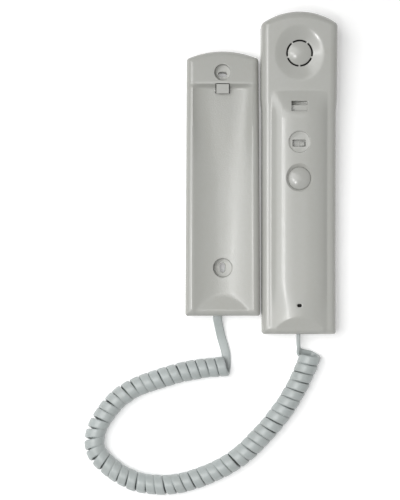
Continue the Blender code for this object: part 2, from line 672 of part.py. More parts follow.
def make_hook():
    """The hook lever that the hung handset pulls down, with its pin, spring and switch."""
    pivot = (0.0, HOOK_PIVOT_Y, HOOK_PIVOT_Z)
    half = HOOK_HALF_WIDTH
    head = box_mesh((-half, HOOK_HEAD_Y[0], HOOK_HEAD_Z[0]), (half, HOOK_HEAD_Y[1], HOOK_HEAD_Z[1]))
    lever = add_part("hook_lever", head, CASE_PLASTIC, origin=pivot)
    join(lever, "hook_stem", box_mesh((-3.5, HOOK_STEM_Y, 7.6), (3.5, 61.6, 15.0)))
    hub = rod_mesh((-3.7, HOOK_PIVOT_Y, HOOK_PIVOT_Z), (3.7, HOOK_PIVOT_Y, HOOK_PIVOT_Z), 2.3, 16)
    join(lever, "hook_hub", hub)
    join(lever, "hook_arm", box_mesh((-2.6, 50.6, 6.0), (2.6, 58.4, 8.0)))
    cut(lever, "hook_hub_bore", pin_bore())
    rod_part("hook_pin", (-6.2, *pivot[1:]), (6.2, *pivot[1:]), PIN_RADIUS, ZINC_STEEL, 16)
    coil_spring("hook_spring", (HOOK_PIVOT_Y, HOOK_PIVOT_Z), 1.75, 0.25, 6.8, 10.4, 5, SPRING_STEEL, True)
    body = box_part(
        "hook_switch_body", (-3.2, HOOK_SWITCH_Y - 3, PLATE_THICKNESS + GAP),
        (3.2, HOOK_SWITCH_Y + 3, 4.6), BLACK_PLASTIC,
    )
    well = box_mesh((-1.2, HOOK_SWITCH_Y - 1.2, 2.7), (1.2, HOOK_SWITCH_Y + 1.2, 6.0))
    cut(body, "hook_switch_well", well)
    box_part(
        "hook_switch_plunger", (-0.9, HOOK_SWITCH_Y - 0.9, 3.9), (0.9, HOOK_SWITCH_Y + 0.9, 5.7),
        BUTTON_PLASTIC, origin=(0.0, HOOK_SWITCH_Y, 4.6),
    )


# ---------------------------------------------------------------- handset

def make_front_shell():
    """The handset's face: earpiece slots, hook recess, slide switch window, button hole, mouth hole."""
    hx = HANDSET_X
    shell, middle = shell_part("handset_front_shell", HANDSET_CASE, handset_height, SEAM_Z + GAP, hx)
    lip = ring_solid(HANDSET_CASE, ((0.8, SEAM_Z - 3.0), (0.8, SEAM_Z + 1.7)), hx)
    cut(shell, "seam_lip_room", lip)
    for k in range(EAR_SLOT_COUNT):
        bearing = math.radians(90 + 360 / EAR_SLOT_COUNT * k)
        slot = arc_slot_mesh(
            (hx, EAR_Y), EAR_SLOT_INNER, EAR_SLOT_OUTER, bearing, EAR_SLOT_ANGLE, 15.0, 28.0
        )
        cut(shell, f"ear_slot_{k}", slot)
    (x0, y0), (x1, y1) = HOOK_RECESS
    pocket = box_mesh((hx + x0 - 1.2, y0 - 1.2, HOOK_RECESS_FLOOR - 1.2), (hx + x1 + 1.2, y1 + 1.2, 30.0))
    grow_inside(shell, middle, "hook_recess_box", pocket)
    cut(shell, "hook_recess", box_mesh((hx + x0, y0, HOOK_RECESS_FLOOR), (hx + x1, y1, 30.0)))
    dish = rod_mesh((hx, SWITCH_DISH_Y, 22.8), (hx, SWITCH_DISH_Y, 27.0), SWITCH_DISH_RADIUS, 28)
    cut(shell, "switch_dish", dish)
    (x0, y0), (x1, y1) = SWITCH_WINDOW
    cut(shell, "switch_window", box_mesh((hx + x0, y0, 15.0), (hx + x1, y1, 27.0)))
    countersink = rod_mesh(
        (hx, BUTTON_Y, 21.3), (hx, BUTTON_Y, 23.3), BUTTON_RADIUS + GAP, 32,
        end_radius=COUNTERSINK_RADIUS + 0.9,
    )
    cut(shell, "button_countersink", countersink)
    hole = rod_mesh((hx, BUTTON_Y, 15.0), (hx, BUTTON_Y, 22.0), BUTTON_RADIUS + GAP, 32)
    cut(shell, "button_hole", hole)
    mouth = ((hx - 1.45, MICROPHONE_Y - 1.0), (hx + 1.45, MICROPHONE_Y + 1.0))
    cut(shell, "mouth_hole", slot_mesh(mouth, 15.0, 27.0))
    cut(shell, "cord_notch_front", cord_notch(5.0, 24.0))
    return shell


def cord_notch(z_low, z_high):
    """Room for the cord in the middle of the handset's bottom end."""
    half = CORD_NOTCH_HALF_WIDTH
    low = (HANDSET_X - half, HANDSET_BOTTOM - 1.0, z_low)
    return box_mesh(low, (HANDSET_X + half, HANDSET_BOTTOM + WALL + 0.3, z_high))


def make_rear_shell():
    """The handset's back: a tray with a lip that the front shell snaps over, and its mounting posts."""
    hx = HANDSET_X
    profile = (
        (3.0, 0.0), (1.5, 0.4), (0.4, 1.5), (0.0, 3.0), (0.0, SEAM_Z), (1.1, SEAM_Z), (1.1, SEAM_Z + 1.4),
        (WALL, SEAM_Z + 1.4), (WALL, 3.4), (3.4, 2.2),
    )
    shell = add_part("handset_rear_shell", ring_solid(HANDSET_CASE, profile, hx), CASE_PLASTIC)
    smooth(shell)
    for k, (x, y) in enumerate(HANDSET_POSTS):
        post = rod_mesh((hx + x, y, 1.2), (hx + x, y, HANDSET_BOARD_Z - GAP), 2.7, 14)
        join(shell, f"handset_board_post_{k}", post)
    join(shell, "receiver_seat", rod_mesh((hx, EAR_Y, 1.2), (hx, EAR_Y, 10.9), 12.0, 28))
    cut(shell, "receiver_seat_bore", rod_mesh((hx, EAR_Y, 2.2), (hx, EAR_Y, 14.0), 10.4, 28))
    join(shell, "microphone_seat", rod_mesh((hx, MICROPHONE_Y, 1.2), (hx, MICROPHONE_Y, 12.2), 2.8, 14))
    for k, (x, y) in enumerate(HANDSET_POSTS[:2]):
        bore = rod_mesh((hx + x, y, 2.4), (hx + x, y, 11.0), 1.3, 12)
        cut(shell, f"handset_board_hole_{k}", bore)
    cut(shell, "cord_notch_rear", cord_notch(5.4, 24.0))
    return shell


def make_handset_electronics():
    """Board, receiver, microphone and the two switches behind the handset's face."""
    hx = HANDSET_X
    (x0, y0), (x1, y1) = HANDSET_BOARD
    top = HANDSET_BOARD_Z + BOARD_THICKNESS
    board = box_part(
        "handset_circuit_board", (hx + x0, y0, HANDSET_BOARD_Z), (hx + x1, y1, top), BOARD_GREEN
    )
    for k, (x, y) in enumerate(HANDSET_POSTS[:2]):
        cut(board, f"handset_board_bore_{k}", rod_mesh((hx + x, y, 6.0), (hx + x, y, 12.0), 1.3, 12))
        pan_screw(f"handset_board_screw_{k + 1}", hx + x, y, top + GAP, 6.6)
    on_board = top + GAP

    receiver = (
        (0.0, 19.0), (9.0, 18.9), (9.4, 18.2), (13.4, 18.2), (14.0, 17.6), (14.0, 13.2), (10.8, 11.4),
        (0.0, 11.2),
    )
    turned_part("receiver_capsule", receiver, CAPSULE_METAL, (hx, EAR_Y, 0.0))
    gasket = ((9.8, 19.7), (12.6, 19.7), (12.6, 18.5), (9.8, 18.5))
    turned_part("receiver_gasket", gasket, FOAM_RUBBER, (hx, EAR_Y, 0.0), closed=True)
    boot = ((0.0, 13.7), (5.2, 13.7), (5.2, 19.2), (6.3, 19.2), (6.3, 12.5), (0.0, 12.5))
    turned_part("microphone_boot", boot, FOAM_RUBBER, (hx, MICROPHONE_Y, 0.0), steps=20)
    capsule = ((0.0, 18.9), (4.6, 18.9), (4.85, 18.6), (4.85, 14.0), (0.0, 14.0))
    turned_part("microphone_capsule", capsule, CAPSULE_METAL, (hx, MICROPHONE_Y, 0.0), steps=20)

    switch = box_part(
        "door_switch_body", (hx - 3.1, BUTTON_Y - 3.1, on_board), (hx + 3.1, BUTTON_Y + 3.1, 13.4),
        BLACK_PLASTIC,
    )
    cut(switch, "door_switch_well", rod_mesh((hx, BUTTON_Y, 10.3), (hx, BUTTON_Y, 15.0), 1.8, 16))
    rod_part(
        "door_switch_plunger", (hx, BUTTON_Y, 12.2), (hx, BUTTON_Y, 14.9), 1.5, BUTTON_PLASTIC, 16,
        origin=(hx, BUTTON_Y, 13.4),
    )
    coil_spring("door_button_spring", (hx, BUTTON_Y), 2.3, 0.22, 13.7, 18.4, 5, SPRING_STEEL)
    slide = box_part(
        "mute_switch_body", (hx - 5.2, 21.9, on_board), (hx + 5.2, 27.3, 14.0), BLACK_PLASTIC
    )
    cut(slide, "mute_switch_slot", box_mesh((hx - 4.4, 23.4, 11.0), (hx + 4.2, 25.4, 16.0)))
    box_part(
        "handset_cord_connector", (hx - 4.0, -21.6, on_board), (hx + 4.0, -15.8, 14.0), BLACK_PLASTIC
    )


def make_controls():
    """The door button and the slide switch's knob, each with its origin on its line of travel."""
    hx = HANDSET_X
    turns = [math.radians(angle) for angle in range(0, 91, 15)]
    dome = [(BUTTON_RADIUS * math.sin(a), BUTTON_RISE * math.cos(a)) for a in turns]
    skirt = ((BUTTON_RADIUS, -1.5), (8.4, -1.5), (8.4, -2.4), (1.4, -2.4), (1.4, -5.9), (0.0, -5.9))
    button = turned_part("door_button", (*dome, *skirt), BUTTON_PLASTIC, (hx, BUTTON_Y, 21.1), steps=36)
    smooth(button)
    knob = box_mesh((hx + 0.1, 22.9, 14.8), (hx + 3.4, 25.7, 20.6))
    slider = add_part("mute_slider", knob, BUTTON_PLASTIC, origin=(hx + 1.75, 24.3, 14.4))
    join(slider, "mute_slider_stem", box_mesh((hx + 0.9, 23.7, 11.4), (hx + 2.6, 25.1, 16.0)))


# ---------------------------------------------------------------- cord and leads

def make_cords():
    """The curly cord with its two tails, the grips that hold them, and the inner leads."""
    hx = HANDSET_X
    grip = ((BASE_EXIT_X - 3.6, -79.5, 2.3), (BASE_EXIT_X + 3.6, -72.5, 8.1))
    box_part("base_cord_grip", *grip, BLACK_PLASTIC, 0.5)
    grip = ((hx - 3.4, -89.5, 2.6), (hx + 3.4, -82.0, 12.4))
    box_part("handset_cord_grip", *grip, BLACK_PLASTIC, 0.5)
    tail = CORD_THICKNESS / 2
    tube_part("cord_tail_base", BASE_TAIL, tail, CORD_JACKET, 2.2)
    tube_part("cord_tail_handset", HANDSET_TAIL, tail, CORD_JACKET, 2.0)
    axis = [(x, y, CURL_Z) for x, y in CURL_AXIS]
    tube_part("curly_cord", axis, CURL_RADIUS, CORD_JACKET, 7.0, 4)
    base_route = (
        (BASE_EXIT_X, -72.1, 5.2), (BASE_EXIT_X, -70.6, 5.2), (-6.5, -66.0, 5.0), (-11.5, -56.5, 5.0),
        (-11.5, -48.0, 6.4), (-6.5, -37.5, 8.8), (-3.0, -32.0, 9.9), (-3.0, -29.7, 9.9),
    )
    tube_part("base_cord_wires", base_route, 1.1, LEAD_JACKET, 4.0, 1)
    handset_route = (
        (hx + 2.0, -81.5, 6.5), (hx + 2.1, -80.0, 6.5), (hx + 4.8, -76.5, 5.6), (hx + 6.5, -66.0, 5.4),
        (hx + 4.0, -46.0, 7.4), (hx, -30.0, 11.6), (hx, -21.9, 12.0),
    )
    tube_part("handset_cord_wires", handset_route, 1.1, LEAD_JACKET, 4.0, 1)
    receiver_route = (
        (hx + 1.0, 66.0, 15.0), (hx + 2.0, 60.0, 13.0), (hx + 3.0, 50.0, 11.4), (hx + 3.0, 42.0, 10.8),
        (hx + 3.0, 37.0, 10.7),
    )
    tube_part("receiver_wires", receiver_route, 0.7, LEAD_JACKET, 3.0, 1)
    microphone_route = (
        (hx - 4.0, -69.8, 14.5), (hx - 4.5, -52.0, 13.6), (hx - 6.5, -32.0, 11.6), (hx - 6.5, -17.0, 10.7),
    )
    tube_part("microphone_wires", microphone_route, 0.7, LEAD_JACKET, 4.0, 1)


make_base_shell()
make_wall_plate()
make_plate_screws()
make_base_electronics()
make_hook()
make_front_shell()
make_rear_shell()
make_handset_electronics()
make_controls()
make_cords()
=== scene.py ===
# %% [markdown]
# # A slimline wall telephone for a door-entry system
# The telephone lies on a pale table: the wall base on the left, the handset on its back beside it, and
# the curly cord thrown in a wide loop below them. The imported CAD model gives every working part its
# place. This lesson builds the surfaces that the eye meets (the moulded shells, the button, the curly
# cord) as numpy surfaces around that frame, and gives every part a finish made of shader nodes.

import json
import math

import bpy
import numpy as np
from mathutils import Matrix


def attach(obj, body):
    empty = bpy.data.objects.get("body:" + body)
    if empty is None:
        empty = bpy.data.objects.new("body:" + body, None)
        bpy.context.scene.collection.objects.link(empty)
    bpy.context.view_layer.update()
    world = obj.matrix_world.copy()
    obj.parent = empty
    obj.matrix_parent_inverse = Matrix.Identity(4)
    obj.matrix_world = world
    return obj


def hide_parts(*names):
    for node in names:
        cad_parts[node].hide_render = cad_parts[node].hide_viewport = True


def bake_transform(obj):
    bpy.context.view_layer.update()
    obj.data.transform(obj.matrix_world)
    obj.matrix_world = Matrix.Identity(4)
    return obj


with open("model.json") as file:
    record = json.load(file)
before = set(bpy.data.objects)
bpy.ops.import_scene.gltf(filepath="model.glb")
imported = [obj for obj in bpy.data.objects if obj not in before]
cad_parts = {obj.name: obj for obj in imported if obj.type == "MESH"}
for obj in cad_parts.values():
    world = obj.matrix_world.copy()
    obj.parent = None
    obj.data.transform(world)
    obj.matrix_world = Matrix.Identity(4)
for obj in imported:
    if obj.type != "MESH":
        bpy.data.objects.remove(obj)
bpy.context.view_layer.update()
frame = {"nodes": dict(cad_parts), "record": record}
NODES = frame["nodes"]
MM = 0.001

# %% [markdown]
# ## Finishes
# The telephone is moulded plastic, probably ABS: a warm grey with a soft gloss, a fine pebbled grain in
# the trough of the base, and a light film of handling. One way would be a flat colour for each part.
# Node groups are used instead: each effect (grain, soiling, drawn metal) is built once with named
# sockets, and every material places the same group with its own values.

# %% Small helpers for shader nodes
def add_node(tree, kind, **values):
    """A shader node, with each named input set to the value given or linked to the socket given."""
    node = tree.nodes.new("ShaderNode" + kind)
    for name, value in values.items():
        socket = node.inputs[name.replace("_", " ")]
        if isinstance(value, bpy.types.NodeSocket):
            tree.links.new(value, socket)
        else:
            socket.default_value = value
    return node


def new_group(name, inputs, outputs):
    """A node group with float or colour sockets. Gives the tree, its input node and its output node."""
    tree = bpy.data.node_groups.new(name, "ShaderNodeTree")
    for socket, kind, value in inputs:
        made = tree.interface.new_socket(socket, in_out="INPUT", socket_type="NodeSocket" + kind)
        made.default_value = value
    for socket, kind in outputs:
        tree.interface.new_socket(socket, in_out="OUTPUT", socket_type="NodeSocket" + kind)
    return tree, tree.nodes.new("NodeGroupInput"), tree.nodes.new("NodeGroupOutput")


def noise(tree, scale, detail=3.0, roughness=0.5, stretch=(1.0, 1.0, 1.0)):
    """Noise on the object's own coordinates, in patches about 1/scale metres across."""
    place = tree.nodes.new("ShaderNodeTexCoord")
    turn = add_node(tree, "Mapping", Vector=place.outputs["Object"], Scale=stretch)
    made = add_node(tree, "TexNoise", Vector=turn.outputs["Vector"], Detail=detail, Roughness=roughness)
    if isinstance(scale, bpy.types.NodeSocket):
        tree.links.new(scale, made.inputs["Scale"])
    else:
        made.inputs["Scale"].default_value = scale
    return made.outputs["Fac"]


def arithmetic(tree, operation, first, second=0.0, third=0.0):
    """One sum on sockets or numbers."""
    node = tree.nodes.new("ShaderNodeMath")
    node.operation = operation
    for socket, value in zip(node.inputs, (first, second, third)):
        if isinstance(value, bpy.types.NodeSocket):
            tree.links.new(value, socket)
        else:
            socket.default_value = value
    return node.outputs[0]


def mix_colour(tree, amount, first, second):
    """The second colour laid over the first by an amount from 0 to 1."""
    node = tree.nodes.new("ShaderNodeMix")
    node.data_type = "RGBA"
    for index, value in ((0, amount), (6, first), (7, second)):
        if isinstance(value, bpy.types.NodeSocket):
            tree.links.new(value, node.inputs[index])
        else:
            node.inputs[index].default_value = value
    return node.outputs[2]


# %% [markdown]
# The grain is a pebble of rounded bumps, each about 1/scale metres across, as spark erosion leaves in a
# mould. Soiling is two sizes of soft patches that darken the colour a little and turn it warmer, and
# make the gloss uneven. Scuffs are a third noise that only changes the gloss.

# %% Shared effects
SCUFF_GLOSS = 0.10
SOIL_GLOSS = 0.12


def grain_group():
    """Height of a moulded pebble grain: fine noise squared up, plus a softer, wider swell."""
    tree, given, result = new_group(
        "moulded_grain", [("Scale", "Float", 3000.0), ("Swell", "Float", 0.3)], [("Height", "Float")]
    )
    fine = noise(tree, given.outputs["Scale"], 2.0, 0.55)
    rounded = add_node(tree, "MapRange", Value=fine, From_Min=0.36, From_Max=0.66)
    rounded.interpolation_type = "SMOOTHSTEP"
    wide = noise(tree, arithmetic(tree, "MULTIPLY", given.outputs["Scale"], 0.12), 1.0)
    swell = arithmetic(tree, "MULTIPLY", wide, given.outputs["Swell"])
    tree.links.new(arithmetic(tree, "ADD", rounded.outputs["Result"], swell), result.inputs["Height"])
    return tree


def soiling_group():
    """Handled plastic: the clean colour towards the soiled one in soft patches, and a gloss that follows."""
    tree, given, result = new_group(
        "handling_soil",
        [("Clean", "Color", (0.4, 0.4, 0.4, 1)), ("Soiled", "Color", (0.3, 0.3, 0.28, 1)),
         ("Amount", "Float", 0.5), ("Gloss", "Float", 0.3)],
        [("Colour", "Color"), ("Roughness", "Float")],
    )
    patches = arithmetic(tree, "MULTIPLY", noise(tree, 45.0, 4.0, 0.6), noise(tree, 380.0, 3.0, 0.6))
    spread = add_node(tree, "MapRange", Value=patches, From_Min=0.12, From_Max=0.42)
    amount = arithmetic(tree, "MULTIPLY", spread.outputs["Result"], given.outputs["Amount"])
    colour = mix_colour(tree, amount, given.outputs["Clean"], given.outputs["Soiled"])
    tree.links.new(colour, result.inputs["Colour"])
    scuff = noise(tree, 150.0, 3.0, 0.6)
    rough = arithmetic(tree, "MULTIPLY_ADD", scuff, SCUFF_GLOSS, given.outputs["Gloss"])
    rough = arithmetic(tree, "MULTIPLY_ADD", amount, SOIL_GLOSS, rough)
    tree.links.new(arithmetic(tree, "SUBTRACT", rough, SCUFF_GLOSS / 2), result.inputs["Roughness"])
    return tree


def brushed_group():
    """Rolled or plated metal: a brightness that changes along short drawn streaks."""
    tree, given, result = new_group(
        "drawn_metal", [("Colour", "Color", (0.6, 0.6, 0.6, 1)), ("Gloss", "Float", 0.3)],
        [("Colour", "Color"), ("Roughness", "Float"), ("Height", "Float")],
    )
    streaks = noise(tree, 1400.0, 3.0, 0.6, (1.0, 0.1, 0.1))
    tarnish = noise(tree, 260.0, 4.0, 0.6)
    dull = mix_colour(tree, 0.6, given.outputs["Colour"], (0.28, 0.25, 0.2, 1))
    shift = add_node(tree, "MapRange", Value=tarnish, From_Min=0.4, From_Max=0.8)
    tree.links.new(
        mix_colour(tree, shift.outputs["Result"], given.outputs["Colour"], dull), result.inputs["Colour"]
    )
    rough = arithmetic(tree, "MULTIPLY_ADD", streaks, 0.2, given.outputs["Gloss"])
    tree.links.new(rough, result.inputs["Roughness"])
    tree.links.new(streaks, result.inputs["Height"])
    return tree


GRAIN = grain_group()
SOILING = soiling_group()
DRAWN = brushed_group()
print("shared effects:", GRAIN.name, SOILING.name, DRAWN.name)

# %% [markdown]
# A finish puts those groups in front of one Principled shader. Numbers that are the same all over the
# surface, such as the refractive index, stay on the shader's own sockets. The grain may be held back by
# a point attribute of the mesh, so that one moulding can be pebbled in its trough and smooth outside.

# %% Finishes for plastic, metal and rubber
STREAK_DEPTH = 0.00002


def start_material(name):
    """An empty material with a Principled shader. Gives the material, its tree and the shader."""
    material = bpy.data.materials.new(name)
    material.use_nodes = True
    return material, material.node_tree, material.node_tree.nodes["Principled BSDF"]


def place_group(tree, group, **values):
    """One shared effect in a material."""
    node = tree.nodes.new("ShaderNodeGroup")
    node.node_tree = group
    for name, value in values.items():
        if isinstance(value, bpy.types.NodeSocket):
            tree.links.new(value, node.inputs[name])
        else:
            node.inputs[name].default_value = value
    return node


def plastic(name, clean, soiled, gloss, grain_scale, grain_depth, amount=0.5, mask=None):
    """Moulded plastic: soiling gives colour and gloss, the grain gives bumps grain_depth metres high."""
    material, tree, shader = start_material(name)
    soil = place_group(
        tree, SOILING, Clean=(*clean, 1), Soiled=(*soiled, 1), Amount=amount, Gloss=gloss
    )
    tree.links.new(soil.outputs["Colour"], shader.inputs["Base Color"])
    grain = place_group(tree, GRAIN, Scale=grain_scale)
    height = grain.outputs["Height"]
    if mask:
        where = tree.nodes.new("ShaderNodeAttribute")
        where.attribute_name = mask
        height = arithmetic(tree, "MULTIPLY", height, where.outputs["Fac"])
    tree.links.new(soil.outputs["Roughness"], shader.inputs["Roughness"])
    bump = add_node(tree, "Bump", Height=height, Distance=grain_depth, Strength=1.0)
    tree.links.new(bump.outputs["Normal"], shader.inputs["Normal"])
    shader.inputs["IOR"].default_value = 1.5
    return material


def metal(name, colour, gloss):
    """Plated or rolled metal with drawn streaks."""
    material, tree, shader = start_material(name)
    drawn = place_group(tree, DRAWN, Colour=(*colour, 1), Gloss=gloss)
    tree.links.new(drawn.outputs["Colour"], shader.inputs["Base Color"])
    tree.links.new(drawn.outputs["Roughness"], shader.inputs["Roughness"])
    bump = add_node(tree, "Bump", Height=drawn.outputs["Height"], Distance=STREAK_DEPTH, Strength=1.0)
    tree.links.new(bump.outputs["Normal"], shader.inputs["Normal"])
    shader.inputs["Metallic"].default_value = 1.0
    return material


CASE_GREY = (0.470, 0.474, 0.448)
CASE_SOILED = (0.43, 0.425, 0.38)
FINISH = {
    "case_plastic": plastic(
        "case_grey_plastic", CASE_GREY, CASE_SOILED, 0.17, 1400.0, 0.000028, 0.3, mask="grain"
    ),
    "hook_plastic": plastic(
        "hook_grey_plastic", (0.46, 0.465, 0.44), (0.36, 0.355, 0.32), 0.32, 3000.0, 0.00001
    ),
    "button_plastic": plastic(
        "button_grey_plastic", (0.46, 0.465, 0.44), (0.40, 0.395, 0.37), 0.13, 3000.0, 0.000004, 0.35
    ),
    "plate_plastic": plastic(
        "plate_grey_plastic", (0.26, 0.265, 0.25), (0.2, 0.195, 0.175), 0.48, 2200.0, 0.00005
    ),
    "black_plastic": plastic(
        "black_nylon", (0.022, 0.022, 0.021), (0.05, 0.047, 0.043), 0.42, 2600.0, 0.00003
    ),
    "board_green": plastic(
        "board_lacquer", (0.018, 0.105, 0.045), (0.05, 0.12, 0.05), 0.34, 900.0, 0.00004
    ),
    "terminal_green": plastic(
        "terminal_nylon", (0.03, 0.2, 0.09), (0.06, 0.17, 0.09), 0.45, 2400.0, 0.00002
    ),
    "foam_rubber": plastic(
        "foam_rubber_pores", (0.018, 0.018, 0.018), (0.04, 0.038, 0.035), 0.9, 1500.0, 0.00025
    ),
    "cord_jacket": plastic(
        "cord_grey_vinyl", (0.47, 0.51, 0.505), (0.39, 0.415, 0.40), 0.30, 1500.0, 0.00002, 0.55
    ),
    "lead_jacket": plastic(
        "lead_red_vinyl", (0.3, 0.02, 0.015), (0.16, 0.02, 0.015), 0.4, 1500.0, 0.00002
    ),
    "zinc_steel": metal("zinc_plated_steel", (0.6, 0.6, 0.57), 0.22),
    "spring_steel": metal("spring_wire", (0.42, 0.42, 0.42), 0.26),
    "capsule_metal": metal("capsule_nickel", (0.62, 0.61, 0.58), 0.24),
}
print("finishes:", ", ".join(sorted(FINISH)))

# %% [markdown]
# ## Table, light and camera
# The telephone lies on a white sheet and is lit softly from all round. A sky of even white gives the
# softness, and a broad panel on the left, aimed below the telephone, gives the direction. Two small
# lamps on the left draw the sheen along the trough and the hump, and a third, nearer the camera, draws
# the highlights on the domes. The camera looks straight down through a long lens, so nothing leans.

# %% Table
TABLE_HALF = 2.0
TABLE_Z = -0.0002
TABLE_GLOW = 0.26


def table_top(half, z):
    """A plain pale sheet. It glows a little, as an opal sheet lit from below does, so shadows stay pale."""
    mesh = bpy.data.meshes.new("table_sheet")
    corners = [(-half, -half, z), (half, -half, z), (half, half, z), (-half, half, z)]
    mesh.from_pydata(corners, [], [(0, 1, 2, 3)])
    material, tree, shader = start_material("opal_sheet")
    shade = mix_colour(tree, noise(tree, 6.0), (0.93, 0.93, 0.93, 1), (0.96, 0.96, 0.96, 1))
    tree.links.new(shade, shader.inputs["Base Color"])
    shader.inputs["Roughness"].default_value = 0.75
    shader.inputs["Specular IOR Level"].default_value = 0.1
    shader.inputs["Emission Color"].default_value = (1, 1, 1, 1)
    shader.inputs["Emission Strength"].default_value = TABLE_GLOW
    mesh.materials.append(material)
    sheet = bpy.data.objects.new("table_sheet", mesh)
    bpy.context.scene.collection.objects.link(sheet)


table_top(TABLE_HALF, TABLE_Z)

# %% Light
def aim(obj, target):
    """Turn an object so that its -Z axis points at the target."""
    direction = np.array(target, float) - np.array(obj.location, float)
    across = math.hypot(direction[0], direction[1])
    obj.rotation_euler = (math.atan2(across, -direction[2]), 0.0, math.atan2(-direction[0], direction[1]))


def panel_lamp(name, place, target, size, power, spread=180):
    """A square soft light aimed at a point. A spread under 180 degrees narrows its beam."""
    data = bpy.data.lights.new(name, "AREA")
    data.size = size
    data.spread = math.radians(spread)
    data.energy = power
    lamp = bpy.data.objects.new(name, data)
    lamp.location = place
    aim(lamp, target)
    bpy.context.scene.collection.objects.link(lamp)


SKY_BRIGHTNESS = 0.30
world = bpy.data.worlds.new("studio_air")
world.use_nodes = True
world.node_tree.nodes["Background"].inputs["Color"].default_value = (1.0, 1.0, 1.0, 1.0)
world.node_tree.nodes["Background"].inputs["Strength"].default_value = SKY_BRIGHTNESS
bpy.context.scene.world = world
panel_lamp("broad_panel", (-0.42, -0.08, 1.0), (0.0, -0.30, 0.0), 1.0, 2.75, 85)
panel_lamp("upper_lamp", (-0.35, -0.015, 1.0), (0.0, -0.04, 0.0), 0.05, 0.30)
panel_lamp("middle_lamp", (-0.23, -0.070, 1.0), (0.0, -0.04, 0.0), 0.05, 0.34)
panel_lamp("low_lamp", (-0.135, -0.198, 1.0), (0.03, 0.0, 0.0), 0.03, 0.80)

# %% Camera
SHEET_PLACE = (-0.0141, -0.0414)
CAMERA_HEIGHT = 1.1
LENS = 125.4

camera_data = bpy.data.cameras.new("copy_stand_camera")
camera_data.lens = LENS
camera_data.clip_end = 20.0
camera = bpy.data.objects.new("copy_stand_camera", camera_data)
camera.location = (*SHEET_PLACE, CAMERA_HEIGHT)
bpy.context.scene.collection.objects.link(camera)
bpy.context.scene.camera = camera
bpy.context.scene.view_settings.view_transform = "Standard"
print("camera height", CAMERA_HEIGHT, "m, lens", LENS, "mm")

# %% [markdown]
# ## Surfaces from arrays
# Every new piece is a grid of points worked out in one go, so it needs only three helpers: one that
# numbers the faces of a grid, one that turns arrays into an object with its faces outwards, and one
# that cuts a closed tool out of a closed piece. Sculpting or extruding by hand would give the same
# shapes, but not ones that follow from a few sizes.

# %% Mesh helpers
SMOOTH_BELOW = math.radians(32)


def ramp(value, start, end):
    """A smooth step from 0 at start to 1 at end."""
    t = np.clip((value - start) / (end - start), 0.0, 1.0)
    return t * t * (3 - 2 * t)


def grid_faces(rows, columns, around_rows=False, around_columns=False):
    """Face corners of a grid of rows x columns points, joined up end to end where asked."""
    down = np.arange(rows if around_rows else rows - 1)
    along = np.arange(columns if around_columns else columns - 1)
    r, c = (a.ravel() for a in np.meshgrid(down, along, indexing="ij"))
    r_next, c_next = (r + 1) % rows, (c + 1) % columns
    corners = [(r, c), (r, c_next), (r_next, c_next), (r_next, c)]
    return np.stack([row * columns + column for row, column in corners], 1)


def enclosed_volume(points, faces):
    """Six times the signed volume inside closed faces: the sum of corner x (corner cross corner) in fans."""
    total = 0.0
    for face in faces:
        fan = points[np.asarray(face)]
        total += np.einsum("i,ji->", fan[0], np.cross(fan[1:-1], fan[2:]))
    return total


def make_object(name, points, faces, material=None):
    """An object from points in millimetres, its faces turned outwards and shaded smooth but for corners."""
    points = np.asarray(points, float).reshape(-1, 3) * MM
    faces = [list(map(int, face)) for face in faces]
    if enclosed_volume(points, faces) < 0:
        faces = [face[::-1] for face in faces]
    mesh = bpy.data.meshes.new(name)
    mesh.from_pydata(points.tolist(), [], faces)
    if material:
        mesh.materials.append(material)
    mesh.shade_smooth()
    mesh.set_sharp_from_angle(angle=SMOOTH_BELOW)
    obj = bpy.data.objects.new(name, mesh)
    bpy.context.scene.collection.objects.link(obj)
    return obj


def closed_rings(name, rings, material=None):
    """A closed solid from equal rings of points, its first and last ring filled."""
    rings = np.asarray(rings)
    rows, columns = rings.shape[:2]
    first = np.arange(columns)[::-1]
    last = np.arange(columns) + (rows - 1) * columns
    return make_object(name, rings, [*grid_faces(rows, columns, around_columns=True), first, last], material)


def carve(obj, tool, how="DIFFERENCE"):
    """Cut the tool out of the piece (or join it on, or keep what both share), then throw it away."""
    modifier = obj.modifiers.new("carve", "BOOLEAN")
    modifier.operation = how
    modifier.solver = "EXACT"
    modifier.object = tool
    bpy.context.view_layer.update()
    seen = obj.evaluated_get(bpy.context.evaluated_depsgraph_get())
    mesh = bpy.data.meshes.new_from_object(seen)
    obj.modifiers.clear()
    obj.data = mesh
    bpy.data.objects.remove(tool)
    return obj


def points_of(obj):
    """An object's points in millimetres, as an array."""
    flat = np.zeros(len(obj.data.vertices) * 3, np.float32)
    obj.data.vertices.foreach_get("co", flat)
    return flat.reshape(-1, 3).astype(float) / MM


def finish_piece(obj, body, grain=None, replaces=()):
    """Shade a finished piece, give it its grain mask, and hang it on its CAD body."""
    mesh = obj.data
    mesh.shade_smooth()
    mesh.set_sharp_from_angle(angle=SMOOTH_BELOW)
    if grain is not None:
        mask = mesh.attributes.get("grain") or mesh.attributes.new("grain", "FLOAT", "POINT")
        mask.data.foreach_set("value", grain.astype(np.float32))
    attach(obj, body)
    if replaces:
        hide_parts(*replaces)
    print(f"{obj.name}: {len(mesh.vertices)} points, {len(mesh.polygons)} faces, rides on {body}")
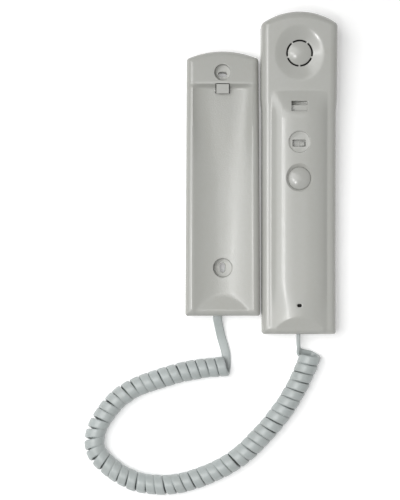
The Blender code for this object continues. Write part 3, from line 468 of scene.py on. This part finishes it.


# %% [markdown]
# ## The curly cord
# A telephone cord is a flat ribbon of four cores side by side, wound edge to edge round a mandrel and
# baked so that it keeps the curl. Here the ribbon's section is carried along a route: a short flat tail
# from the base, then a helix about a listed axis, then a tail into the handset. A curve with a
# bevel object would also do, but a mesh lets each ring be turned so the flat side always faces out of
# the curl. Each turn is given its own small error in pitch and size, because no two turns lie alike.

# %% The route
CORD_WIDTH = 5.6
CORD_THICKNESS = 2.4
CURL_RADIUS = 6.3
CURL_Z = 6.5
CURL_PITCH = 5.92
CURL_GROWTH = 0.45
TURN_POINTS = 44
CURL_AXIS = (
    (2.5, -114.5), (-10.0, -115.5), (-24.0, -117.8), (-34.8, -120.8), (-44.8, -124.0), (-54.0, -127.5),
    (-63.0, -132.9), (-69.8, -139.4), (-75.5, -147.2), (-78.7, -153.4), (-80.3, -160.6), (-79.2, -167.7),
    (-75.6, -172.7), (-69.4, -178.4), (-61.8, -183.4), (-53.2, -187.0), (-43.2, -188.6), (-33.0, -188.7),
    (-22.9, -186.9), (-12.8, -183.6), (-2.7, -179.3), (6.6, -174.0), (15.4, -167.2), (22.4, -160.1),
    (29.1, -153.0), (34.6, -146.0), (39.7, -139.2), (43.8, -132.4), (47.5, -125.9), (50.6, -119.0),
    (53.6, -112.2), (55.3, -107.5),
)
BASE_TAIL = (
    (-3.1, -79.8, 5.2), (-3.0, -85.0, 4.9), (-2.0, -90.5, 3.2), (-0.6, -96.5, 1.9), (1.2, -102.5, 1.5),
    (2.3, -107.5, 1.4),
)
HANDSET_TAIL = (
    (47.5, -89.8, 9.0), (47.5, -94.0, 9.0), (47.5, -98.0, 8.6), (47.7, -102.0, 7.2), (48.9, -105.8, 4.4),
)


def smooth_line(points, spacing):
    """Points an even distance apart on the smooth curve (Catmull-Rom) through the given ones."""
    p = np.asarray(points, float)
    p = np.vstack([2 * p[0] - p[1], p, 2 * p[-1] - p[-2]])
    t = np.linspace(0, 1, 40, endpoint=False)[:, None]
    spans = []
    for a, b, c, d in zip(p[:-3], p[1:-2], p[2:-1], p[3:]):
        spans.append(0.5 * (2 * b + (c - a) * t + (2 * a - 5 * b + 4 * c - d) * t**2
                            + (3 * b - a - 3 * c + d) * t**3))
    line = np.vstack([*spans, p[-2][None]])
    run = np.concatenate([[0.0], np.cumsum(np.linalg.norm(np.diff(line, axis=0), axis=1))])
    places = np.linspace(0, run[-1], max(int(round(run[-1] / spacing)), 2) + 1)
    return np.stack([np.interp(places, run, line[:, k]) for k in range(line.shape[1])], 1)


def unit(vectors):
    """Vectors scaled to length 1."""
    return vectors / np.linalg.norm(vectors, axis=-1, keepdims=True)


def wander(count, places, size, seed):
    """A smooth random line about zero: one draw for each of `count` knots, joined by soft steps."""
    knots = np.random.default_rng(seed).normal(0, size, count)
    at = np.clip(places, 0, 1) * (count - 1)
    low = np.minimum(at.astype(int), count - 2)
    part = at - low
    part = part * part * (3 - 2 * part)
    return knots[low] * (1 - part) + knots[low + 1] * part


def curl_points():
    """The curl's centreline, the way its flat side faces, and the share of its length at each point.

    At distance s along the axis the ribbon stands at axis + R (side sin a - up cos a), where a grows by a
    full turn for each pitch. It starts under the axis and climbs over it towards the north side.
    """
    axis = smooth_line(CURL_AXIS, 0.5)
    run = np.concatenate([[0.0], np.cumsum(np.linalg.norm(np.diff(axis, axis=0), axis=1))])
    length = run[-1]
    turns = int(round(length / CURL_PITCH))
    count = turns * TURN_POINTS
    share = np.linspace(0, 1, count + 1)
    drift = wander(turns * 2, share, 0.35, 4) * np.sin(np.pi * share)
    s = np.clip(share * length + drift, 0, length)
    centre = np.stack([np.interp(s, run, axis[:, k]) for k in range(2)] + [np.full(len(s), CURL_Z)], 1)
    forward = np.gradient(axis, axis=0)
    forward = np.stack([np.interp(s, run, forward[:, k]) for k in range(2)] + [np.zeros(len(s))], 1)
    forward = unit(forward)
    side = np.stack([-forward[:, 1], forward[:, 0], np.zeros(len(s))], 1)
    angle = 2 * np.pi * turns * share
    outward = side * np.sin(angle)[:, None] - np.array([0.0, 0.0, 1.0]) * np.cos(angle)[:, None]
    middle = CURL_RADIUS - CORD_THICKNESS / 2
    growth = CURL_GROWTH * ramp(share, 0.55, 0.95)
    radius = np.minimum(middle + wander(turns, share, 0.10, 9), middle + 0.1) + growth
    centre[:, 2] += growth
    print(f"curl: {turns} turns on an axis of {length:.1f} mm")
    return centre + outward * radius[:, None], outward, share


def cord_route():
    """The whole centreline with the way its flat side faces, base tail first."""
    curl, outward, share = curl_points()
    first = smooth_line([*BASE_TAIL, curl[0]], 0.8)[:-1]
    last = smooth_line([curl[-1], *HANDSET_TAIL[::-1]], 0.8)[1:]
    first_face = np.tile([0.0, 0.0, -1.0], (len(first), 1))
    blend = np.clip(np.linspace(0, 1, len(last))[:, None] * 2, 0, 1)
    last_face = unit(outward[-1] * (1 - blend) + np.array([-1.0, 0.0, 0.05]) * blend)
    route = np.vstack([first, curl, last])
    face = np.vstack([first_face, outward, last_face])
    return route, face


# %% The ribbon
def ribbon_section(steps):
    """The ribbon's outline as (across, out): a flat oval with four shallow lobes, one over each core."""
    angle = np.linspace(0, 2 * np.pi, steps, endpoint=False)
    across = np.sign(np.cos(angle)) * np.abs(np.cos(angle)) ** 0.55 * CORD_WIDTH / 2
    out = np.sign(np.sin(angle)) * np.abs(np.sin(angle)) ** 0.6 * CORD_THICKNESS / 2
    lobes = 1 - 0.05 * (1 + np.cos(2 * np.pi * across / (CORD_WIDTH / 4))) / 2
    return np.stack([across, out * lobes], 1)


def carried_section(route, face, section):
    """Rings of the section set square to the route, with its flat side facing `face`."""
    forward = unit(np.gradient(route, axis=0))
    out = unit(face - forward * np.sum(face * forward, axis=1, keepdims=True))
    across = np.cross(forward, out)
    return (route[:, None] + section[None, :, :1] * across[:, None] + section[None, :, 1:] * out[:, None])


def make_cord():
    """The curly cord with both tails, as one closed ribbon."""
    route, face = cord_route()
    rings = carried_section(route, face, ribbon_section(28))
    cord = closed_rings("curly_cord_ribbon", rings, FINISH["cord_jacket"])
    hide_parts("cord_tail_base", "curly_cord", "cord_tail_handset")
    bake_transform(cord)


make_cord()

# %% [markdown]
# ## The two casings
# Base and handset are moulded to nest: the base's face has a long trough under a gentle crown, and the
# handset's face has a long hump on a gentle saddle, both struck from the same large radius. Each face is
# a height worked out for every point of a plan, so the same few sizes that drive the CAD model drive
# this finer one. The plan is a rectangle of grid lines, squeezed at the corners into quarter circles and
# bent at the top into an arc. Where two slopes meet, a soft minimum leaves the small round of a mould.

# %% Soft corners
def above_zero(value, soft):
    """The larger of value and 0, with the corner rounded over about `soft`."""
    return (value + np.sqrt(value * value + soft * soft)) / 2


def lesser(first, second, soft):
    """The smaller of two values, with the corner rounded over about `soft`."""
    return first - above_zero(first - second, soft)


# %% The face of the base
NEST_RADIUS = 1200.0
WALL = 2.0
SMALLEST_CORNER = 1.0
SMALLEST_EDGE = 0.8
TROUGH_DEPTH = 4.3
TROUGH_HALF_WIDTH = 18.4
TROUGH_WIDENING = 1.4
LEDGE_TOP_Y = 62.6
LEDGE_FOOT_Y = 59.4
LIP_Y = -81.6
LIP_SLOPE = 0.36
BASE_CROWN_HEIGHT = 20.0
BASE_CROWN_Y = -31.0
BASE_HALF_WIDTHS = (23.25, 22.35)


def trough_half_width(y):
    """The trough widens a little towards the ledge."""
    return TROUGH_HALF_WIDTH + TROUGH_WIDENING * ramp(y, 30.0, 58.0)


def base_height(x, y):
    """Crown less trough: depth x (1 - |x / half width| ^ fullness), cut off by the lip's slope."""
    crown = BASE_CROWN_HEIGHT - (y - BASE_CROWN_Y) ** 2 / (2 * NEST_RADIUS)
    fullness = 2.3 + 2.2 * ramp(y, 0.0, 58.0)
    across = above_zero(1 - (np.abs(x) / trough_half_width(y)) ** fullness, 0.12)
    ledge = 1 - ramp(y, LEDGE_FOOT_Y, LEDGE_TOP_Y)
    lip = above_zero(LIP_SLOPE * (y - LIP_Y), 0.08)
    return crown - lesser(TROUGH_DEPTH * across, lip, 0.5) * ledge


def base_half_width(y):
    """The base is a little wider at the bottom."""
    part = (y - BASE["bottom"]) / (BASE["top"] - BASE["bottom"])
    low, high = BASE_HALF_WIDTHS
    return low + (high - low) * part


BASE = {
    "top": 82.7, "bottom": -82.5, "top_radius": 54.7, "corner": 1.6, "bend_from": LEDGE_TOP_Y,
    "half_width": base_half_width, "edge_radius": lambda y: 4.0 + 0 * y, "height": base_height,
    "break": trough_half_width, "shift": 0.0,
}

# %% The face of the handset
HANDSET_X = 47.5
SADDLE_HEIGHT = 18.0
SADDLE_Y = -42.4
HUMP_HEIGHT = 3.8
HUMP_HALF_WIDTH = 17.2
HUMP_START_Y = 57.2
HUMP_FULL_Y = 40.0
HUMP_END_Y = -92.6
HUMP_END_SLOPE = 0.41
SEAM_Z = 11.0
EAR_Y = 80.4
EAR_DISH_RADIUS = 15.5
EAR_DISH_DEPTH = 2.6
EAR_CAP_RISE = 2.0
EAR_CAP_RADIUS = 7.4


def handset_height(x, y):
    """Saddle plus hump less ear dish, with a low cap in the middle of the dish.

    The hump is height x (1 - |x / half width| ^ fullness), cut off below.
    """
    saddle = SADDLE_HEIGHT + (y - SADDLE_Y) ** 2 / (2 * NEST_RADIUS)
    fullness = 2.3 + 1.5 * ramp(y, -84.0, -60.0)
    across = above_zero(1 - (np.abs(x) / HUMP_HALF_WIDTH) ** fullness, 0.12)
    share = np.clip((HUMP_START_Y - y) / (HUMP_START_Y - HUMP_FULL_Y), 0, 1)
    start = 0.6 * share * (2 - share) + 0.4 * share * share * (3 - 2 * share)
    end = above_zero(HUMP_END_SLOPE * (y - HUMP_END_Y), 0.08)
    hump = lesser(HUMP_HEIGHT * across, end, 0.12) * start
    from_ear = np.hypot(x, (y - EAR_Y) * 0.9)
    dish = EAR_DISH_DEPTH * np.clip(1 - (from_ear / EAR_DISH_RADIUS) ** 2, 0, None) ** 1.6
    cap = EAR_CAP_RISE * above_zero(1 - (np.hypot(x, y - EAR_Y) / EAR_CAP_RADIUS) ** 2, 0.02)
    return saddle + hump - dish + cap


HANDSET = {
    "top": 106.2, "bottom": -93.8, "top_radius": 40.0, "corner": 1.6, "bend_from": HUMP_START_Y,
    "half_width": lambda y: 23.05 + 0.6 * ramp(y, 44.0, 54.0),
    "edge_radius": lambda y: 4.2 + 0.4 * ramp(y, 44.0, 58.0), "height": handset_height,
    "break": lambda y: HUMP_HALF_WIDTH + 0 * y, "shift": HANDSET_X,
}


# %% Grid lines bent to a casing's plan
CORNER_STEPS = 4


def plan_grid(case, spacing, inset):
    """Plan points of the casing drawn `inset` inside its outline.

    A grid line has a place and a turn. With turn 0 it is straight. Past the straight part a line keeps
    its place and its turn grows to 1 round the corner: the corner's point then lies at corner x the
    larger turn, on the angle that the two turns share. Rows above bend_from sag into the top's arc.
    """
    turn = np.arange(CORNER_STEPS, 0, -1) / CORNER_STEPS
    half = int(round(23.0 / spacing))
    steps = np.linspace(-1, 1, 2 * half + 1)
    steps = 0.55 * steps + 0.45 * np.sin(np.pi / 2 * steps)
    strip = np.linspace(0, 1, max(int(round(4.5 / spacing)), 3) + 1)[1:]
    share = np.concatenate([-1 - strip[::-1], steps, 1 + strip])
    share = np.concatenate([np.full(CORNER_STEPS, -2.0), share, np.full(CORNER_STEPS, 2.0)])
    turn_x = np.concatenate([turn, np.zeros(len(share) - 2 * CORNER_STEPS), turn[::-1]])
    rows = int(round((case["top"] - case["bottom"]) / spacing))
    y = np.linspace(case["bottom"] + 4.7, case["top"] - 5.7, rows)
    y = np.concatenate([case["bottom"] + np.array([1.7, 3.2]), y, case["top"] - np.array([4.2, 2.2])])
    y = np.concatenate([np.full(CORNER_STEPS, case["bottom"]), y, np.full(CORNER_STEPS, case["top"])])
    turn_y = np.concatenate([turn, np.zeros(len(y) - 2 * CORNER_STEPS), turn[::-1]])
    y, share = np.meshgrid(y, share, indexing="ij")
    turn_y, turn_x = np.meshgrid(turn_y, turn_x, indexing="ij")

    inset = inset(y) if callable(inset) else inset
    corner = np.maximum(case["corner"] - inset, SMALLEST_CORNER)
    middle = (case["top"] + case["bottom"]) / 2
    place_y = np.clip(y, case["bottom"] + inset + corner, case["top"] - inset - corner)
    reach = case["half_width"](place_y) - inset - corner
    edge = np.minimum(case["break"](place_y), reach - 0.2)
    size = np.abs(share)
    x = np.where(size <= 1, size * edge, edge + (size - 1) * (reach - edge)) * np.sign(share)
    most = np.maximum(turn_x, turn_y)
    ratio = np.minimum(turn_x, turn_y) / np.maximum(most, 1e-9)
    angle = np.pi / 4 * np.where(turn_x >= turn_y, ratio, 2 - ratio)
    x = x + np.sign(share) * corner * most * np.cos(angle)
    y = place_y + np.sign(y - middle) * corner * most * np.sin(angle)
    lean = np.clip((y - case["bend_from"]) / (case["top"] - case["bend_from"]), 0, None)
    return x, y - lean * (case["top_radius"] - np.sqrt(case["top_radius"] ** 2 - x**2))


def rim_of(grid):
    """The points round the border of a grid, in order."""
    return np.concatenate([grid[0, :-1], grid[:-1, -1], grid[-1, :0:-1], grid[:0:-1, 0]])


def casing_rings(case, spacing, insets):
    """The outline of the casing as rings of plan points, one for each inset."""
    return [tuple(rim_of(axis) for axis in plan_grid(case, spacing, inset)) for inset in insets]


# %% A casing as one closed solid
def casing_solid(name, case, spacing, rim_z, inset=0.0, edge_steps=6):
    """The face, its edge turned over a quarter circle, the side down to rim_z, and a flat end.

    On the quarter circle the inset is radius x (1 - sin a) and the drop is radius x (1 - cos a).
    """
    def edge(y):
        radius = case["edge_radius"](y)
        return np.maximum(radius - inset, SMALLEST_EDGE) if inset else radius

    x, y = plan_grid(case, spacing, lambda y: inset + edge(y))
    z = case["height"](x, y) - inset
    face = np.stack([x, y, z], 2)
    rows, columns = x.shape
    border = rim_of(np.arange(rows * columns).reshape(rows, columns))
    rim = face.reshape(-1, 3)[border]
    points, faces = [face.reshape(-1, 3)], list(grid_faces(rows, columns))
    previous = border
    count = rows * columns
    for a in [*np.linspace(0, np.pi / 2, edge_steps + 1)[1:], None]:
        turned = 1.0 if a is None else math.sin(a)
        ring_x, ring_y = casing_rings(case, spacing, [lambda y: inset + edge(y) * (1 - turned)])[0]
        drop = edge(rim[:, 1]) * (1 - math.cos(a)) if a is not None else 0
        ring_z = np.full(len(ring_x), float(rim_z)) if a is None else rim[:, 2] - drop
        ring = np.arange(len(border)) + count
        points.append(np.stack([ring_x, ring_y, ring_z], 1))
        ahead = np.roll(np.arange(len(border)), -1)
        faces += list(np.stack([previous, ring, ring[ahead], previous[ahead]], 1))
        previous = ring
        count += len(ring)
    faces.append(previous[::-1])
    points = np.concatenate(points) + np.array([case["shift"], 0.0, 0.0])
    return make_object(name, points, faces, FINISH["case_plastic"])


def casing_shell(name, case, rim_z, spacing):
    """A casing hollowed to an even wall, open below."""
    shell = casing_solid(name, case, spacing, rim_z)
    carve(shell, casing_solid(name + "_inside", case, 3.0, rim_z - 1.0, WALL, 2))
    return shell


# %% [markdown]
# ## Tools for wells, windows and holes
# A moulded opening never has a knife edge: its lip is a small round that catches the light. So each
# cutting tool carries that round itself. The tool is an outline (a circle, a slot, a window) stacked in
# rings: straight up through the wall, then flaring outwards over a quarter circle that follows the
# height of the face all the way round. Bevelling the finished hole would be the other way, but the face
# is curved there and a bevel tears on its many small faces.

# %% Outlines and stacks
def window_outline(low, high, radius, steps=6):
    """A rectangle with round corners, as a function of how far it is grown."""
    corners = [(high[0], high[1]), (low[0], high[1]), (low[0], low[1]), (high[0], low[1])]
    inward = [(-1, -1), (1, -1), (1, 1), (-1, 1)]

    def grown(by):
        rings = []
        for k, ((x, y), (sx, sy)) in enumerate(zip(corners, inward)):
            angle = np.linspace(k, k + 1, steps + 1) * np.pi / 2
            centre = np.array([x + sx * radius, y + sy * radius])
            rings.append(centre + max(radius + by, 0.02) * np.stack([np.cos(angle), np.sin(angle)], 1))
        return np.concatenate(rings)

    return grown


def disc_outline(centre, radius, steps=64):
    """A circle as a function of how far it is grown."""
    angle = np.linspace(0, 2 * np.pi, steps, endpoint=False)
    return lambda by: np.array(centre) + (radius + by) * np.stack([np.cos(angle), np.sin(angle)], 1)


def arc_outline(centre, radius, half_width, middle, spread, steps=14):
    """A curved slot with round ends: a band about a circle's arc, grown evenly all round."""
    def grown(by):
        half = half_width + by
        run = np.linspace(middle - spread / 2, middle + spread / 2, steps)
        cap = np.linspace(0, np.pi, 8)[1:-1]
        outer = (radius + half) * np.stack([np.cos(run), np.sin(run)], 1)
        inner = (radius - half) * np.stack([np.cos(run[::-1]), np.sin(run[::-1])], 1)
        ends = []
        for at, direction in ((run[-1], 1), (run[0], -1)):
            out = np.array([math.cos(at), math.sin(at)])
            along = np.array([-math.sin(at), math.cos(at)]) * direction
            turn = cap if direction > 0 else cap[::-1]
            ring = radius * out + half * (np.cos(turn)[:, None] * out + np.sin(turn)[:, None] * along)
            ends.append(ring)
        return np.array(centre) + np.concatenate([outer, ends[0], inner, ends[1]])
    return grown


def stacked(name, outline, profile, surface=None, shift=0.0, material=None):
    """A closed solid from rings of an outline, each (grown by, height) or (grown by, height, "on face")."""
    rings = []
    for step in profile:
        plan = outline(step[0])
        z = np.full(len(plan), float(step[1]))
        if len(step) > 2:
            z = z + surface(plan[:, 0], plan[:, 1])
        rings.append(np.column_stack([plan[:, 0] + shift, plan[:, 1], z]))
    return closed_rings(name, rings, material)


def lip(radius, steps=4, last=72):
    """The flare of a tool over a rounded lip: (radius (1 - cos a), radius (sin a - 1), on the face)."""
    angles = np.radians(np.linspace(0, last, steps + 1))
    rings = [(radius * (1 - math.cos(a)), radius * (math.sin(a) - 1), "on face") for a in angles]
    return [*rings, (radius * 1.25, radius * 0.12, "on face"), (radius * 1.3, 4.0, "on face")]


def opening(case, name, outline, floor, lip_radius, floor_round=0.0):
    """The tool for one opening in a casing's face: floor, wall and flared lip."""
    bottom = [(0.0, floor)]
    if floor_round:
        angles = np.radians(np.linspace(90, 0, 5))
        bottom = [(-floor_round * (1 - math.cos(a)), floor + floor_round * (1 - math.sin(a))) for a in angles]
    return stacked(name, outline, [*bottom, *lip(lip_radius)], case["height"], case["shift"])


# %% [markdown]
# ## The base
# The cover of the base has two screw wells that go down to the wall plate, a window where the hook
# stands up against the ledge, and a flat outlet for the cord in its lower wall. Only the trough is
# pebbled, so the mesh carries a mask for it.

# %% Cover of the base
WELLS = (
    ("upper", 69.3, 5.1, 11.2, ((-2.75, 66.9), (2.75, 69.9))),
    ("lower", -52.5, 5.9, 10.9, ((-1.6, -55.5), (1.6, -49.5))),
)
HOOK_WINDOW = ((-4.45, 56.3), (4.45, 62.35))
BASE_OUTLET = (-3.1, 5.2)


def make_base_cover():
    """The base's cover with wells, slots, hook window and cord outlet."""
    cover = casing_shell("base_cover", BASE, 0.0, 0.75)
    for side, y, radius, floor, slot in WELLS:
        post = disc_outline((0.0, y), radius + 1.5)
        carve(cover, stacked(f"{side}_post", post, [(0, 2.3), (0, floor + 3.2)]), "UNION")
        carve(cover, opening(BASE, f"{side}_well", disc_outline((0.0, y), radius), floor, 0.35, 0.4))
        low, high = slot
        end = min(high[0] - low[0], high[1] - low[1]) / 2
        outline = window_outline(low, high, end - 0.01)
        profile = [(0, -1.0), (0, floor - 0.3), (0.08, floor - 0.1), (0.3, floor + 0.05), (0.4, floor + 0.3)]
        carve(cover, stacked(f"{side}_slot", outline, profile))
    window = window_outline(*HOOK_WINDOW, 0.5)
    carve(cover, opening(BASE, "hook_window", window, 8.0, 0.3))
    x, z = BASE_OUTLET
    outlet = window_outline((x - 3.3, z - 1.8), (x + 3.3, z + 1.8), 1.4)
    profile = [(0.5, 79.0), (0.5, 80.4), (0.0, 80.6), (0.0, 82.2), (0.5, 82.8), (0.5, 84.0)]
    tool = stacked("cord_outlet", outlet, profile)
    turned = points_of(tool)[:, [0, 2, 1]] * np.array([1.0, -1.0, 1.0])
    tool.data.vertices.foreach_set("co", (turned * MM).astype(np.float32).ravel())
    carve(cover, tool)

    x, y = points_of(cover).T[:2]
    inside = ramp(trough_half_width(y) - np.abs(x), -0.2, 0.5)
    along = ramp(y, -81.0, -70.0) * (1 - ramp(y, 61.5, 63.0))
    finish_piece(cover, "base", inside * along, ["base_shell"])


make_base_cover()

# %% [markdown]
# ## The handset
# The handset closes from two halves. The face carries all the openings: five curved slots over the
# earpiece, the pocket that the hook reaches into, a round blank for the slide switch, the countersink of
# the door button and the mouth hole. The back is a plain tray. The seam between them runs round the
# side as a fine groove.

# %% Face of the handset
EAR_SLOT_RADIUS = 7.75
EAR_SLOT_HALF = 0.62
EAR_SLOTS = 5
EAR_SLOT_ANGLE = math.radians(58)
HOOK_POCKET = ((-4.95, 44.5), (4.95, 50.8))
POCKET_FLOOR = 16.6
POCKET_SHELF_Y = 48.4
POCKET_SHELF_Z = 21.2
SWITCH_DISH_Y = 25.5
SWITCH_DISH_RADIUS = 6.6
SWITCH_DISH_FLOOR = 22.9
SWITCH_WINDOW = ((-4.3, 22.6), (3.7, 26.8))
BUTTON_Y = 3.0
BUTTON_RADIUS = 7.0
MOUTH_Y = -75.8
NOTCH_HALF = 1.9
NOTCH = window_outline((-NOTCH_HALF, -96.0), (NOTCH_HALF, -91.6), 0.3)
FACE_GRAIN = 0.08
BACK_GRAIN = 0.6


def make_handset_face():
    """The face half of the handset with all its openings."""
    face = casing_shell("handset_face", HANDSET, SEAM_Z + 0.3, 0.8)
    for k in range(EAR_SLOTS):
        bearing = math.radians(90 + 360 / EAR_SLOTS * k)
        outline = arc_outline((0.0, EAR_Y), EAR_SLOT_RADIUS, EAR_SLOT_HALF - 0.1, bearing, EAR_SLOT_ANGLE)
        carve(face, opening(HANDSET, f"ear_slot_{k}", outline, 12.0, 0.15))
    low, high = HOOK_POCKET
    box = window_outline((low[0] - 1.2, low[1] - 1.2), (high[0] + 1.2, high[1] + 1.2), 0.6)
    carve(face, stacked("pocket_box", box, [(0, POCKET_FLOOR - 1.2), (0, 21.4)], None, HANDSET_X), "UNION")
    pocket = window_outline(low, high, 0.35)
    carve(face, opening(HANDSET, "hook_pocket", pocket, POCKET_FLOOR, 0.3, 0.2))
    shelf = window_outline((low[0] - 0.4, low[1] - 0.4), (high[0] + 0.4, POCKET_SHELF_Y), 0.1)
    profile = [(0, POCKET_FLOOR - 0.6), (0, POCKET_SHELF_Z - 0.2), (-0.06, POCKET_SHELF_Z - 0.05),
               (-0.2, POCKET_SHELF_Z)]
    carve(face, stacked("pocket_shelf", shelf, profile, None, HANDSET_X), "UNION")
    dish = disc_outline((0.0, SWITCH_DISH_Y), SWITCH_DISH_RADIUS)
    carve(face, opening(HANDSET, "switch_dish", dish, SWITCH_DISH_FLOOR, 0.3, 0.3))
    window = window_outline(*SWITCH_WINDOW, 0.3)
    profile = [(0, 12.0), (0, SWITCH_DISH_FLOOR - 0.15), (0.15, SWITCH_DISH_FLOOR + 0.05), (0.15, 26.0)]
    carve(face, stacked("switch_window", window, profile, None, HANDSET_X))
    sink = disc_outline((0.0, BUTTON_Y), BUTTON_RADIUS + 0.14)
    profile = [(0, 12.0), (0, 21.3), (0.1, 21.45), (1.75, 22.85), (1.98, 23.0), (2.4, 23.6), (2.6, 26.0)]
    carve(face, stacked("button_sink", sink, profile, None, HANDSET_X))
    mouth = window_outline((-1.45, MOUTH_Y - 1.0), (1.45, MOUTH_Y + 1.0), 0.98)
    carve(face, opening(HANDSET, "mouth_hole", mouth, 12.0, 0.25))
    carve(face, stacked("notch_front", NOTCH, [(0, 5.0), (0, 12.6)], None, HANDSET_X))
    grain = FACE_GRAIN + 0 * points_of(face)[:, 0]
    finish_piece(face, "handset", grain, ["handset_front_shell"])


make_handset_face()

# %% Back of the handset
SCREW_POSTS = ((-10.5, -18.0), (10.5, 38.0))
PLAIN_POSTS = ((10.5, -18.0), (-10.5, 38.0))


def make_handset_back():
    """The tray: rings of the handset's outline, each (inset, height), closed into a wall with a lip."""
    round_off = [(3.4 * (1 - math.sin(a)), 3.4 * (1 - math.cos(a))) for a in np.linspace(0, np.pi / 2, 8)]
    profile = [*round_off, (0.0, SEAM_Z - 0.25), (0.08, SEAM_Z - 0.08), (0.25, SEAM_Z), (1.1, SEAM_Z),
               (1.1, SEAM_Z + 1.4), (WALL, SEAM_Z + 1.4), (WALL, 4.0), (2.6, 2.6), (4.0, 2.0)]
    rings = []
    for inset, z in profile:
        x, y = casing_rings(HANDSET, 1.2, [inset])[0]
        rings.append(np.column_stack([x + HANDSET_X, y, np.full(len(x), z)]))
    back = closed_rings("handset_back", rings, FINISH["case_plastic"])
    seat = disc_outline((0.0, EAR_Y), 12.0)
    carve(back, stacked("ear_seat", seat, [(0, 1.2), (0, 10.9)], None, HANDSET_X), "UNION")
    bore = disc_outline((0.0, EAR_Y), 10.4)
    carve(back, stacked("ear_bore", bore, [(0, 2.2), (0, 14.0)], None, HANDSET_X))
    for x, y in SCREW_POSTS + PLAIN_POSTS:
        post = stacked("post", disc_outline((x, y), 2.7, 24), [(0, 1.2), (0, 7.7)], None, HANDSET_X)
        carve(back, post, "UNION")
    for x, y in SCREW_POSTS:
        carve(back, stacked("bore", disc_outline((x, y), 1.3, 24), [(0, 2.4), (0, 11.0)], None, HANDSET_X))
    carve(back, stacked("notch_back", NOTCH, [(0, 5.4), (0, 26.0)], None, HANDSET_X))
    grain = BACK_GRAIN + 0 * points_of(back)[:, 0]
    finish_piece(back, "handset", grain, ["handset_rear_shell"])


make_handset_back()

# %% [markdown]
# ## The button and the slide knob
# The door button is a shallow dome that stands in a countersink with a dark ring of shadow round it. It
# is a profile turned about its axis. The knob of the slide switch is a small block with its corners
# rounded, stacked from rings of one outline.

# %% Door button, its spring, slide knob and felts
FELTS = (("ear_felt", EAR_Y, 9.6, 19.05, 19.5), ("mouth_felt", MOUTH_Y, 4.7, 18.95, 19.4))


def make_button():
    """A turned dome: height rise x cos a at radius x sin a, over a flange and a pushing stem."""
    rise, base, flange, stem = 1.9, 21.1, 8.4, 1.4
    angles = np.radians(np.arange(6, 90, 6))
    dome = [(BUTTON_RADIUS * math.sin(a), base + rise * math.cos(a)) for a in angles]
    profile = [*dome, (BUTTON_RADIUS, base - 0.1), (BUTTON_RADIUS, base - 1.5), (flange, base - 1.5),
               (flange, base - 2.4), (stem, base - 2.4), (stem, base - 5.9)]
    outline = disc_outline((0.0, BUTTON_Y), 0.0, 96)
    button = stacked("door_button_cap", outline, profile, None, HANDSET_X, FINISH["button_plastic"])
    finish_piece(button, "door_button", None, ["door_button"])


def make_button_spring():
    """The wire spring under the button: a helix standing between the button and its switch."""
    turns, radius, wire, low, high = 5, 2.3, 0.22, 13.92, 18.18
    angle = np.linspace(0, 2 * np.pi * turns, turns * 24 + 1)
    outward = np.stack([np.cos(angle), np.sin(angle), np.zeros(len(angle))], 1)
    route = np.array([HANDSET_X, BUTTON_Y, 0.0]) + outward * radius
    route[:, 2] = np.linspace(low, high, len(angle))
    turn = np.linspace(0, 2 * np.pi, 8, endpoint=False)
    rings = carried_section(route, outward, wire * np.stack([np.cos(turn), np.sin(turn)], 1))
    spring = closed_rings("door_button_coil", rings, FINISH["spring_steel"])
    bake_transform(spring)
    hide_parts("door_button_spring")
    print(f"{spring.name}: {turns} turns between the button and its switch")


def make_knob():
    """The slide switch's knob: a rounded block with a stem below it."""
    outline = window_outline((0.1, 22.9), (3.4, 25.7), 0.35)
    profile = [(-0.9, 11.4), (-0.9, 14.8), (0.0, 14.8), (0.0, 20.1), (-0.08, 20.35), (-0.25, 20.52),
               (-0.34, 20.58)]
    knob = stacked("mute_knob", outline, profile, None, HANDSET_X, FINISH["button_plastic"])
    apron = window_outline((-5.2, 21.9), (7.4, 27.5), 0.4)
    carve(knob, stacked("knob_apron", apron, [(0, 18.7), (0, 19.4)], None, HANDSET_X), "UNION")
    finish_piece(knob, "mute_slider", None, ["mute_slider"])


def make_felts():
    """Dark acoustic felt behind the earpiece slots and behind the mouth hole."""
    for name, y, radius, low, high in FELTS:
        outline = disc_outline((0.0, y), radius, 48)
        profile = [(-0.2, low), (0.0, low + 0.1), (0.0, high - 0.1), (-0.2, high)]
        felt = stacked(name, outline, profile, None, HANDSET_X, FINISH["foam_rubber"])
        finish_piece(felt, "handset")


make_button()
make_button_spring()
make_knob()
make_felts()

# %% [markdown]
# ## The finishes of the parts from the CAD model
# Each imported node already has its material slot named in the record. The working parts keep their CAD
# meshes, which must not be changed, and take the procedural finish of their slot.

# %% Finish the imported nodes
def finish_nodes():
    """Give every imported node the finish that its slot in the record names."""
    slots = {entry["node"]: entry["material_slot"] for entry in frame["record"]["subparts"]}
    for name, node in NODES.items():
        finish = FINISH[slots[name]]
        if node.data.materials:
            for index in range(len(node.data.materials)):
                node.data.materials[index] = finish
        else:
            node.data.materials.append(finish)
    print("finished nodes:", len(NODES))


finish_nodes()
